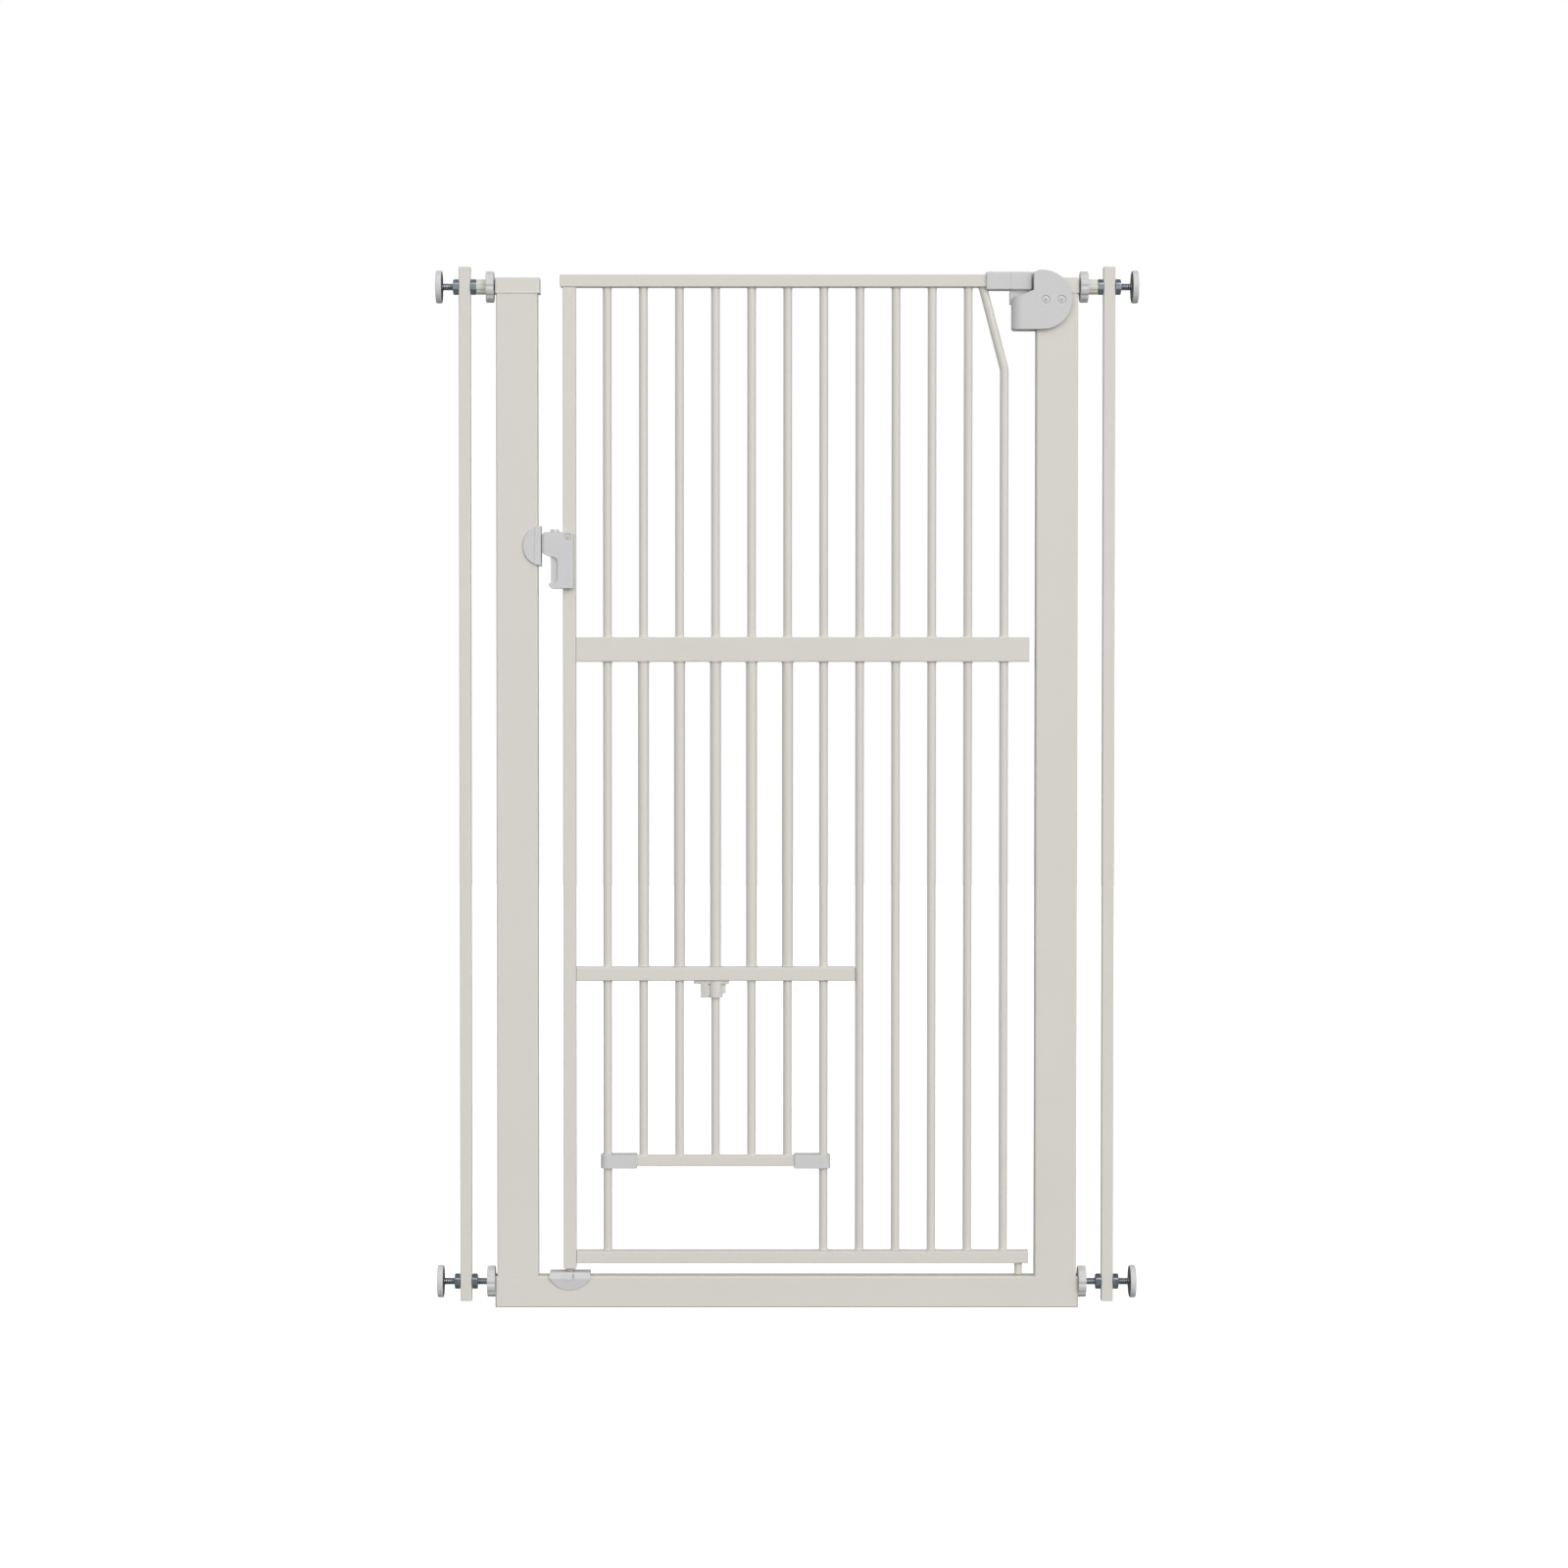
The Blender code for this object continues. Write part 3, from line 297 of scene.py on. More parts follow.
# -------------------- materials
class Nodes:
    """Short names for the nodes that the materials are built from."""

    def __init__(self, name, colour, roughness, metallic=0.0):
        self.material = bpy.data.materials.new(name)
        self.material.use_nodes = True
        self.tree = self.material.node_tree
        self.shader = self.tree.nodes["Principled BSDF"]
        self.shader.inputs["Base Color"].default_value = (*colour, 1.0)
        self.shader.inputs["Roughness"].default_value = roughness
        self.shader.inputs["Metallic"].default_value = metallic
        self.place = self.add("ShaderNodeTexCoord").outputs["Object"]

    def add(self, kind, **settings):
        made = self.tree.nodes.new(kind)
        for key, value in settings.items():
            setattr(made, key, value)
        return made

    def link(self, source, target):
        self.tree.links.new(source, target)

    def stretched(self, scale):
        mapping = self.add("ShaderNodeMapping")
        mapping.inputs["Scale"].default_value = scale
        self.link(self.place, mapping.inputs["Vector"])
        return mapping.outputs["Vector"]

    def noise(self, scale, detail=2.0, place=None, distortion=0.0):
        made = self.add("ShaderNodeTexNoise")
        made.inputs["Scale"].default_value = scale
        made.inputs["Detail"].default_value = detail
        made.inputs["Distortion"].default_value = distortion
        self.link(place or self.place, made.inputs["Vector"])
        return made.outputs["Fac"]

    def cells(self, scale):
        made = self.add("ShaderNodeTexVoronoi", feature="SMOOTH_F1")
        made.inputs["Scale"].default_value = scale
        self.link(self.place, made.inputs["Vector"])
        return made.outputs["Distance"]

    def ramp(self, value, *stops):
        """Colours at places from 0 to 1."""
        made = self.add("ShaderNodeValToRGB")
        points = made.color_ramp.elements
        while len(points) < len(stops):
            points.new(0.5)
        for point, (at, colour) in zip(points, stops):
            point.position = at
            point.color = (*colour, 1.0)
        self.link(value, made.inputs["Fac"])
        return made.outputs["Color"]

    def spread(self, value, low, high, target):
        """Turns a noise value, mostly 0.3 to 0.7, into a number between low and high."""
        made = self.add("ShaderNodeMapRange")
        made.inputs["From Min"].default_value = 0.3
        made.inputs["From Max"].default_value = 0.7
        made.inputs["To Min"].default_value = low
        made.inputs["To Max"].default_value = high
        self.link(value, made.inputs["Value"])
        self.link(made.outputs["Result"], self.shader.inputs[target])

    def bump(self, *layers):
        """Layers of (height, strength, distance in metres), the coarsest first."""
        normal = None
        for height, strength, distance in layers:
            made = self.add("ShaderNodeBump")
            made.inputs["Strength"].default_value = strength
            made.inputs["Distance"].default_value = distance
            self.link(height, made.inputs["Height"])
            if normal:
                self.link(normal, made.inputs["Normal"])
            normal = made.outputs["Normal"]
        self.link(normal, self.shader.inputs["Normal"])

    def tint(self, base, dark, light, scale):
        """Slow variation of colour, by a noise of about 1 / scale metres."""
        shades = [tuple(c * k for c in base) for k in (dark, 1.0, light)]
        mottle = self.noise(scale, 4.0)
        colour = self.ramp(mottle, (0.3, shades[0]), (0.5, shades[1]), (0.7, shades[2]))
        self.link(colour, self.shader.inputs["Base Color"])
        return colour


def enamel():
    """Warm white powder coat: a fine orange peel over the steel tube, and a soft gloss."""
    base = (0.715, 0.693, 0.640)
    n = Nodes("enamel", base, 0.42)
    n.tint(base, 0.99, 1.008, 9.0)
    n.spread(n.noise(160.0, 3.0), 0.36, 0.48, "Roughness")
    n.bump((n.noise(260.0, 2.0), 0.06, 0.0005), (n.cells(1500.0), 0.12, 0.00010))
    n.shader.inputs["Specular IOR Level"].default_value = 0.42
    return n.material


def moulded(name, base, roughness, grain=0.2):
    """A moulded thermoplastic with a finely eroded surface."""
    n = Nodes(name, base, roughness)
    n.tint(base, 0.99, 1.01, 45.0)
    n.spread(n.noise(700.0, 3.0), roughness - 0.06, roughness + 0.07, "Roughness")
    n.bump((n.noise(120.0, 2.0), 0.03, 0.0006), (n.noise(3200.0, 3.0), grain, 0.00006))
    n.shader.inputs["Specular IOR Level"].default_value = 0.45
    return n


def plastic():
    return moulded("plastic", (0.640, 0.640, 0.641), 0.46).material


def lock_plastic():
    return moulded("lock_plastic", (0.70, 0.69, 0.65), 0.44, 0.15).material


def sleeve_plastic():
    """Natural polyamide."""
    return moulded("sleeve_plastic", (0.74, 0.735, 0.665), 0.38, 0.1).material


PAD_DISC_X = 0.3984


def pad_rubber():
    """A soft light-grey rubber with a matt bloom. Its inner faces, which lie nearer the gate's
    middle than PAD_DISC_X, carry painted shade: near-black colour in place of the shade they
    stand in."""
    base = (0.66, 0.66, 0.67)
    n = Nodes("pad_rubber", base, 0.68)
    rubber = n.tint(base, 0.985, 1.012, 90.0)
    apart = n.add("ShaderNodeSeparateXYZ")
    n.link(n.place, apart.inputs["Vector"])
    out = n.add("ShaderNodeMath", operation="ABSOLUTE")
    n.link(apart.outputs["X"], out.inputs[0])
    painted_shade_side = n.add("ShaderNodeMath", operation="LESS_THAN")
    n.link(out.outputs[0], painted_shade_side.inputs[0])
    painted_shade_side.inputs[1].default_value = PAD_DISC_X
    mix = n.add("ShaderNodeMix", data_type="RGBA")
    n.link(painted_shade_side.outputs[0], mix.inputs["Factor"])
    n.link(rubber, mix.inputs[6])
    # painted shade: near-black colour on the pads' inner faces, standing in for the shade there
    mix.inputs[7].default_value = (0.10, 0.10, 0.105, 1.0)
    n.link(mix.outputs[2], n.shader.inputs["Base Color"])
    n.spread(n.noise(500.0, 3.0), 0.6, 0.78, "Roughness")
    n.bump((n.noise(1800.0, 4.0), 0.2, 0.0001))
    n.shader.inputs["Specular IOR Level"].default_value = 0.3
    return n.material


def zinc():
    """Blue-white zinc plate over rolled threads and pressed nuts."""
    base = (0.30, 0.34, 0.385)
    n = Nodes("zinc", base, 0.3, 1.0)
    mottle = n.noise(420.0, 4.0, distortion=0.6)
    shades = [tuple(c * k for c in base) for k in (0.78, 1.0, 1.2)]
    colour = n.ramp(mottle, (0.32, shades[0]), (0.5, shades[1]), (0.68, shades[2]))
    n.link(colour, n.shader.inputs["Base Color"])
    n.spread(n.noise(900.0, 3.0), 0.2, 0.36, "Roughness")
    scratches = n.noise(60.0, 2.0, n.stretched((40.0, 1.0, 1.0)))
    n.bump((scratches, 0.08, 0.0003), (n.noise(2600.0, 3.0), 0.12, 0.0001))
    return n.material


MAKERS = (enamel, plastic, lock_plastic, sleeve_plastic, pad_rubber, zinc)
MATERIALS = {maker.__name__: maker() for maker in MAKERS}


# -------------------- frame tubes
POST_WALL = 0.0015
FRAME_CORNER = 0.0021
ROD_HOLE = 0.0046
FOOT_HOLE = 0.0036
SPINDLE_Z = {level: middle(spans(f"nut_left_{level}")[2]) for level in LEVELS}
HINGE_X = middle(spans("stile")[0])


def square_tube(node, axis, across, up, span, corner, wall, edge=0.0004):
    outer = round_rect(across, up, corner)
    inner = round_rect(shrink(across, wall), shrink(up, wall), max(corner - wall, 0.0004))
    return sleeve(f"{node}_tube", outer, inner, axis, span, edge)


def floor_rail():
    x, y, z = spans("floor_rail")
    made = square_tube("floor_rail", "X", y, z, x, FRAME_CORNER, POST_WALL)
    drill(made, "Z", (HINGE_X, 0), FOOT_HOLE, (middle(z), z[1] + PAST))
    piece(made, "enamel", "floor_rail")


def aprons(x, y, foot):
    """The dressed welds at a post's foot, over the rounded corners of the floor rail."""
    rail_top = spans("floor_rail")[2][1]
    proud, sunk = 0.00012, 0.00003
    radius = FRAME_CORNER + proud
    open_at = math.degrees(math.acos((FRAME_CORNER - sunk) / radius))
    top = foot + 0.003
    made = []
    for face, side in zip(y, (-1, 1)):
        centre = (abs(face) - FRAME_CORNER, rail_top - FRAME_CORNER)
        outline = arc(centre, radius, 90, open_at, 8)
        outline += [(outline[-1][0], top), (centre[0], top)]
        outline = [(side * across, up) for across, up in outline]
        made.append(pillow("apron", outline, "X", shrink(x, 0.0014)))
    return made


def post(side_name):
    node = f"{side_name}_post"
    x, y, z = spans(node)
    made = square_tube(node, "Z", x, y, z, FRAME_CORNER, POST_WALL, (0.0, 0.0004))
    outside = x[0] if side_name == "left" else x[1]
    drill(made, "X", (0, SPINDLE_Z["top"]), ROD_HOLE, (outside - PAST, outside + PAST))
    join(made, *aprons(x, y, z[0]))
    piece(made, "enamel", node)


def post_cap(side_name):
    """A thin cap drawn over the post, with a rolled lower edge."""
    node = f"{side_name}_post_cap"
    x, y, z = spans(node)
    post_x, post_y, post_z = spans(f"{side_name}_post")
    outer = round_rect(x, shrink(y, 0.0010), 0.0026, 5)
    wall, r = 0.0005, 0.0012
    places = [(0.0002, z[0]), (0.0, z[0] + 0.0003), (0.0, z[0] + 0.0006), (wall, z[0] + 0.0021)]
    for turn in (0, 22, 45, 68, 90):
        a = math.radians(turn)
        places.append((wall + r * (1 - math.cos(a)), z[1] - r * (1 - math.sin(a))))
    made = loft(node, [[(*p, at) for p in inset(outer, by)] for by, at in places])
    hollow = round_rect(shrink(post_x, -GAP), shrink(post_y, -GAP), 0.002, 5)
    cut(made, pillow("hollow", hollow, "Z", (z[0] - PAST, post_z[1] + GAP)))
    outside = x[0] if side_name == "left" else x[1]
    drill(made, "X", (0, SPINDLE_Z["top"]), ROD_HOLE, (outside - PAST, outside + PAST))
    piece(made, "enamel", node)


def rail_plug(side_name):
    """A plug with a thin flange that covers the floor rail's open end."""
    node, side = f"{side_name}_rail_plug", SIDES[side_name]
    x, y, z = spans(node)
    outer, inner = (x[0], x[1]) if side < 0 else (x[1], x[0])
    flange = round_rect(y, z, FRAME_CORNER)
    body = inset(flange, POST_WALL + GAP)
    under = outer - side * 0.001
    places = [
        (inset(body, 0.0005), inner), (body, inner + side * 0.0005), (body, under),
        (flange, under), (flange, outer - side * 0.0004), (inset(flange, 0.0004), outer),
    ]
    centre = (0, SPINDLE_Z["bottom"])
    bore = bore_like(flange, centre, ROD_HOLE)
    rings = [[on_axis("X", *p, at) for p in outline] for outline, at in places]
    rings += [[on_axis("X", *p, at) for p in bore] for at in (outer, inner)]
    piece(loft(node, rings, closed=True), "plastic", node)


# -------------------- latch housing
LATCH_NOSE_ROUND = 0.011
LATCH_EDGE = 0.0011
LATCH_SLIT_X = 0.2840
LATCH_BACK_SLIT_X = LATCH_SLIT_X - 0.004
LATCH_NOSE_TOP = 1.1692
LATCH_SCREWS = (0.2972, 0.3156)
LATCH_SCREW_Z = 1.1648


def latch_outline(slit):
    """From the front: a rounded lobe over the post, a slit, and a low nose beside it."""
    x, _, z = spans("latch_housing_front")
    radius = length(z) / 2
    centre = (x[1] - radius, middle(z))
    lobe, nose = 0.007, 0.0035
    outline = [(centre[0], z[0])]
    outline += arc(centre, radius, -87, 87, 29)
    outline += arc((slit + lobe, z[1] - lobe), lobe, 90, 180, 9)
    foot = ((0.0, 0.0067), (-0.003, 0.0062), (-0.0150, 0.0))
    outline += [(slit + dx, LATCH_NOSE_TOP + dz) for dx, dz in foot]
    outline += arc((x[0] + nose, LATCH_NOSE_TOP - nose), nose, 90, 180, 5)
    outline += arc((x[0] + nose, z[0] + nose), nose, 180, 270, 5)
    return outline


def latch_plan(x, depth):
    r = LATCH_NOSE_ROUND
    plan = [(x[1] + PAST, -depth), (x[1] + PAST, depth)]
    plan += arc((x[0] + r, depth - r), r, 90, 180, 10)
    plan += arc((x[0] + r, r - depth), r, 180, 270, 10)
    return plan


def screw_head(made, x, z, face, size=1.0):
    """A shallow recess with a domed cross-head moulded in its floor."""
    floor = face + 0.0012
    recess = [(0.0044, floor), (0.0050, floor - 0.0002), (0.0053, floor - 0.0006)]
    recess += [(0.0054, face + 0.0003), (0.0057, face - 0.00005), (0.0057, face - PAST)]
    cut(made, turned("recess", [(r * size, at) for r, at in recess], "Y", (x, z)))
    dome = [(0.0044, floor + 0.0002), (0.0042, floor - 0.0002)]
    dome += [(0.0034, floor - 0.0007), (0.0014, floor - 0.0010)]
    join(made, turned("dome", [(r * size, at) for r, at in dome], "Y", (x, z)))
    long, thin = 0.0022 * size, 0.0005
    for across, up in ((long, thin), (thin, long)):
        arm_x, arm_z = (x - across, x + across), (z - up, z + up)
        cut(made, box(arm_x, (face - PAST, floor), arm_z))


def latch_housing(half):
    node = f"latch_housing_{half}"
    front = half == "front"
    x, y, z = spans(node)
    depth = max(abs(v) for v in y)
    slit = LATCH_SLIT_X if front else LATCH_BACK_SLIT_X
    made = pillow(node, latch_outline(slit), "Y", y)
    tall = (z[0] - PAST, z[1] + PAST)
    combine(made, pillow("plan", latch_plan(x, depth), "Z", tall), "INTERSECT")
    cap_x, cap_y, cap_z = spans("right_post_cap")
    post_x = spans("right_post")[0]
    pocket_y = shrink(cap_y, -GAP)
    cut(made, box((cap_x[0] - GAP, post_x[1] + PAST), pocket_y, (tall[0], cap_z[1] + GAP)))
    tongue_y = shrink(spans("handle_end")[1], 0.0046)
    tongue_z = spans("handle_end")[2]
    seat_x = (x[0] - PAST, LATCH_SLIT_X - 0.0016)
    cut(made, box(seat_x, (tongue_y[0], depth + PAST), (tongue_z[0] - 0.0005, tall[1])))
    soften(made, LATCH_EDGE)
    if front:
        for screw_x in LATCH_SCREWS:
            screw_head(made, screw_x, LATCH_SCREW_Z, y[0])
    piece(made, "plastic", node)


# -------------------- hinges
SADDLE_EDGE_X = -0.2838
SADDLE_LIP = (
    (-0.0072, 0.0008), (-0.0068, 0.0001), (-0.0062, 0.0), (-0.0012, 0.0009),
    (-0.0004, 0.0014), (-0.0001, 0.0022), (-0.0001, 0.0025), (-0.0072, 0.0025),
)
LUG_Z = (0.8785, 0.8875)
LUG_RADIUS = 0.0042
PIN_X = middle(spans("hinge_pin")[0])
PIN_HOLE = 0.0028


def lug_shape(name, start_x, radius, z):
    """A tongue from start_x to the hinge pin, round at the pin."""
    made = box((start_x, PIN_X), (-radius, radius), z)
    return join(made, pillow(name, circle((PIN_X, 0), radius, 24), "Z", z))


def upper_saddle():
    """A half-moon saddle over the post's inner edge, with a raised lip and a lug."""
    x, y, z = spans("upper_saddle")
    post_x, post_y, _ = spans("left_post")
    radii = (SADDLE_EDGE_X - x[0], length(z) / 2)
    outline = arc((SADDLE_EDGE_X, middle(z)), radii, 90, 270, 28)
    made = pillow("upper_saddle", outline, "Y", (y[0] + 0.0007, y[1]), 0.0015, 4)
    split = z[1] - 0.37 * length(z)
    lip = [(SADDLE_EDGE_X + dx, y[0] + dy) for dx, dy in SADDLE_LIP]
    for span in ((z[0] + 0.0016, split - 0.0003), (split + 0.0003, z[1] - 0.0016)):
        join(made, pillow("lip", lip, "Z", span))
    inside = shrink(post_y, -GAP)
    cut(made, box((post_x[0], post_x[1] + GAP), inside, (z[0] - PAST, z[1] + PAST)))
    join(made, lug_shape("knuckle", post_x[1] + 0.001, LUG_RADIUS, LUG_Z))
    drill(made, "Z", (PIN_X, 0), PIN_HOLE, shrink(LUG_Z, -PAST))
    piece(made, "plastic", "upper_saddle")


BLOCK_FOOT_STEP, BLOCK_EDGE = 0.0063, 0.0009
BLOCK_BORE = 0.0107
BLOCK_SCREW = (-0.2531, 0.8918)
BUSH_SEAT = 0.0112 + GAP


def hinge_block():
    """A boot-shaped block: a barrel above, and a finger scoop in front of a back plate."""
    x, y, z = spans("hinge_block")
    (left, right), (low, high) = x, z
    mouth, scoop_end, scoop_back = 0.8713, -0.2645, -0.0124
    r, shoulder = 0.004, 0.006
    outline = arc((right - r, high - r), r, 0, 90, 6)
    outline += arc((left + shoulder, high - shoulder), shoulder, 90, 180, 6)
    outline += arc((left + 0.004, mouth + 0.0055), 0.004, 180, 235, 4)
    outline += [(left + 0.011, mouth - 0.002), (left + 0.011, low + BLOCK_FOOT_STEP)]
    outline += arc((left + 0.0128, low + 0.004), 0.004, 160, 270, 5)
    outline += arc((right - 0.002, low + 0.002), 0.002, 270, 360, 4)
    made = pillow("hinge_block", outline, "Y", y)
    plan = round_rect(x, y, (0.0026, 0.0052, 0.0052, 0.0026), 8)
    combine(made, pillow("plan", plan, "Z", shrink(z, -PAST)), "INTERSECT")
    scoop_low = low + BLOCK_FOOT_STEP
    scoop = [(left - PAST, scoop_low), (scoop_end - 0.002, scoop_low)]
    scoop.append((scoop_end, scoop_low + 0.005))
    scoop += arc((scoop_end - 0.006, mouth - 0.0078), 0.006, 0, 75, 5)
    scoop += [(left - PAST, mouth + 0.0012)]
    cut(made, pillow("scoop", scoop, "Y", (y[0] - PAST, scoop_back)))
    soften(made, BLOCK_EDGE)
    drill(made, "Z", (HINGE_X, 0), BLOCK_BORE, shrink(z, -PAST), 40)
    drill(made, "Z", (HINGE_X, 0), BUSH_SEAT, shrink(spans("hinge_bush")[2], -GAP), 40)
    cut(made, lug_shape("slot_end", left - PAST, LUG_RADIUS + 0.0004, shrink(LUG_Z, -GAP)))
    drill(made, "Z", (PIN_X, 0), PIN_HOLE, (mouth + 0.0015, high + PAST))
    screw_head(made, *BLOCK_SCREW, y[0], 0.8)
    piece(made, "plastic", "hinge_block")


def hinge_pin():
    """A pin with a round-edged head that has a shallow dimple."""
    z = spans("hinge_pin")[2]
    shank, head, r, top = 0.0025, 0.005, 0.0012, z[1]
    base = top - 0.0032
    profile = [(shank - 0.0006, z[0]), (shank, z[0] + 0.0006), (shank, base)]
    profile += [(head - 0.0003, base), (head, base + 0.0004)]
    profile += arc((head - r, top - r), r, 0, 90, 3)
    profile += [(0.0026, top), (0.0022, top - 0.0007), (0.0003, top - 0.0007)]
    piece(turned("hinge_pin", profile, "Z", (PIN_X, 0)), "plastic", "hinge_pin")


def lower_saddle():
    """A half-moon saddle over the floor rail, with a raised middle tab and a split."""
    x, y, z = spans("lower_saddle")
    rail_y, rail_z = spans("floor_rail")[1:]
    waist, half = 0.034, length(x) / 2 - 0.0009
    drop = waist - z[0]
    radius = (half * half + drop * drop) / (2 * drop)
    lean = math.degrees(math.asin(half / radius))
    r, step = 0.001, waist + 0.0008
    outline = arc((x[0] + r, z[1] - r), r, 90, 180, 3) + [(x[0], step)]
    outline += arc((HINGE_X, z[0] + radius), radius, 270 - lean, 270 + lean, 24)
    outline += [(x[1], step)] + arc((x[1] - r, z[1] - r), r, 0, 90, 3)
    made = pillow("lower_saddle", outline, "Y", y, 0.0006, 3)
    for face, out in zip(y, (-1, 1)):
        for end, slope in ((z[0] - PAST, 0.13), (z[1] + PAST, 0.44)):
            back = face - out * (0.0004 + slope * abs(end - waist))
            beyond = face + out * PAST
            wedge = [(beyond, waist), (face - out * 0.0004, waist), (back, end), (beyond, end)]
            cut(made, pillow("wedge", wedge, "X", shrink(x, -PAST)))
    top, low, deep = waist + 0.0058, waist - 0.0017, 0.003
    lean_back = y[0] + 0.3 * 0.0058
    tab = [(y[0] + deep, low), (y[0] + 0.0002, low), (y[0], low + 0.0006), (y[0], waist)]
    tab += [(lean_back, top), (lean_back + deep, top)]
    join(made, pillow("tab", tab, "X", (HINGE_X - 0.0063, HINGE_X + 0.0028)))
    seam = (HINGE_X + 0.0034, HINGE_X + 0.0045)
    cut(made, box(seam, (y[0] - PAST, y[0] + 0.0034), (waist - 0.0005, z[1] - 0.0016)))
    inside = shrink(rail_y, -GAP)
    cut(made, box(shrink(x, -PAST), inside, (-PAST, rail_z[1] + GAP)))
    drill(made, "Z", (HINGE_X, 0), FOOT_HOLE, (z[0], z[1] + PAST))
    piece(made, "plastic", "lower_saddle")


# -------------------- door
TUBE_CORNER, TUBE_WALL = 0.0013, 0.0012
BAR_RADIUS, BAR_BORE = 0.005, 0.0042
WIDE_RADIUS, WIDE_BORE = 0.00635, 0.00535
BAR_HOLE = 0.0055
WIDE_BARS = range(2, 7)  # the pet door's own bars run up inside these
FIRST_BAR_X = middle(spans("bar_01")[0])
BAR_PITCH = (middle(spans("bar_11")[0]) - FIRST_BAR_X) / 10
BAR_TOP = spans("bar_01")[2][1]
WELD = ((0.0012, 0.0001), (0.0009, 0.0004), (0.0005, 0.0008), (0.0002, 0.0013), (0.0, 0.0019))


def bar_x(number):
    return FIRST_BAR_X + (number - 1) * BAR_PITCH


def weld(radius, z, up):
    """A bar's profile through the bead at a rail's face, going up. up says that the bar
    leaves the rail there, and otherwise it goes in."""
    if up:
        return [(radius + out, z + away) for out, away in WELD]
    return [(radius + out, z - away) for out, away in reversed(WELD)]


def rail(node, edges, holes=()):
    """A square-cornered rail of the door, closed at both ends."""
    x, y, z = spans(node)
    made = pillow(node, round_rect(y, z, TUBE_CORNER), "X", x, edges)
    for number in holes:
        drill(made, "Z", (bar_x(number), 0), BAR_HOLE, shrink(z, -PAST))
    return made


def top_rail():
    """The rail that carries the handle. Its lower corner over the hinge is rounded."""
    made = rail("top_rail", (0.0010, 0.0003))
    x, y, z = spans("top_rail")
    r, out = 0.003, 0.00015
    corner = [(x[0] - PAST, z[0] - PAST), (x[0] + r, z[0] - PAST)]
    corner += arc((x[0] + r, z[0] + r), r + out, 270, 180, 8) + [(x[0] - PAST, z[0] + r)]
    cut(made, pillow("corner", corner, "Y", shrink(y, -PAST)))
    piece(made, "enamel", "top_rail")


def stile():
    x, y, z = spans("stile")
    made = square_tube("stile", "Z", x, y, z, TUBE_CORNER, TUBE_WALL)
    piece(made, "enamel", "stile")


def bar_profile(number):
    """The outside of a bar, from the low rail or the lintel up to the top rail."""
    lintel, rail_z = spans("lintel")[2], spans("mid_rail")[2]
    lower = WIDE_RADIUS if number in WIDE_BARS else BAR_RADIUS
    start = spans(f"bar_{number:02d}")[2][0]
    outside = weld(lower, start - 0.0001, True)
    if number in (1, 7):
        outside += weld(lower, lintel[0], False) + weld(lower, lintel[1], True)
    outside += weld(lower, rail_z[0], False)
    outside += weld(BAR_RADIUS, rail_z[1], True)
    return outside, start


def straight_bar(number):
    node = f"bar_{number:02d}"
    outside, start = bar_profile(number)
    inside = [(BAR_BORE, BAR_TOP), (BAR_BORE, start)]
    if number in WIDE_BARS:
        shoulder = spans("mid_rail")[2][0] + 0.0005
        inside[1:] = [(BAR_BORE, shoulder), (WIDE_BORE, shoulder), (WIDE_BORE, start)]
    outside = outside + weld(BAR_RADIUS, BAR_TOP + 0.0001, False)
    clean = [p for p in outside if start <= p[1] <= BAR_TOP]
    made = turned(node, clean + inside, "Z", (bar_x(number), 0), True)
    piece(made, "enamel", node)


BEND_Z, BENT_TOP_X, BEND_RADIUS = 1.086, 0.2264, 0.02


def bent_bar(number):
    """The last bar, which leans in at the top to clear the latch."""
    node, x = f"bar_{number:02d}", bar_x(number)
    lean = math.atan2(x - BENT_TOP_X, BAR_TOP - BEND_Z)
    tangent = BEND_RADIUS * math.tan(lean / 2)
    outside, start = bar_profile(number)
    straight = [(radius, x, z, 0.0, 1.0) for radius, z in outside if z >= start]
    bend = []
    for i in range(9):
        turn = lean * i / 8
        across = x - BEND_RADIUS * (1 - math.cos(turn))
        up = BEND_Z - tangent + BEND_RADIUS * math.sin(turn)
        bend.append((BAR_RADIUS, across, up, turn, 1.0))
    slope = math.tan(lean)
    top = []
    for radius, z in weld(BAR_RADIUS, BAR_TOP + 0.0001, False):
        if z <= BAR_TOP:
            top.append((radius, BENT_TOP_X + (BAR_TOP - z) * slope, z, 0.0, 1 / math.cos(lean)))
    path = straight + bend + top
    bore = [(BAR_BORE, *p[1:]) for p in (straight[0], bend[0], bend[4], bend[-1], top[-1])]
    rings = []
    for radius, across, up, turn, stretch in path + bore[::-1]:
        tilt = Matrix.Rotation(-turn, 3, "Y")
        rings.append([
            Vector((across, 0, up)) + tilt @ Vector((a * stretch, b, 0))
            for a, b in circle((0, 0), radius)
        ])
    piece(loft(node, rings, closed=True), "enamel", node)


def foot_end(radius, z):
    """The rounded lower end of a pin's profile."""
    return [(radius - 0.001, z), (radius - 0.0003, z + 0.0003), (radius, z + 0.001)]


def stop_pin():
    x, _, (low, high) = spans("stop_pin")
    r = 0.0045
    profile = foot_end(r, low) + [(r, high - 0.0019)]
    profile += [(r + 0.0004, high - 0.0009), (r + 0.0010, high - 0.0001)]
    piece(turned("stop_pin", profile, "Z", (middle(x), 0)), "enamel", "stop_pin")


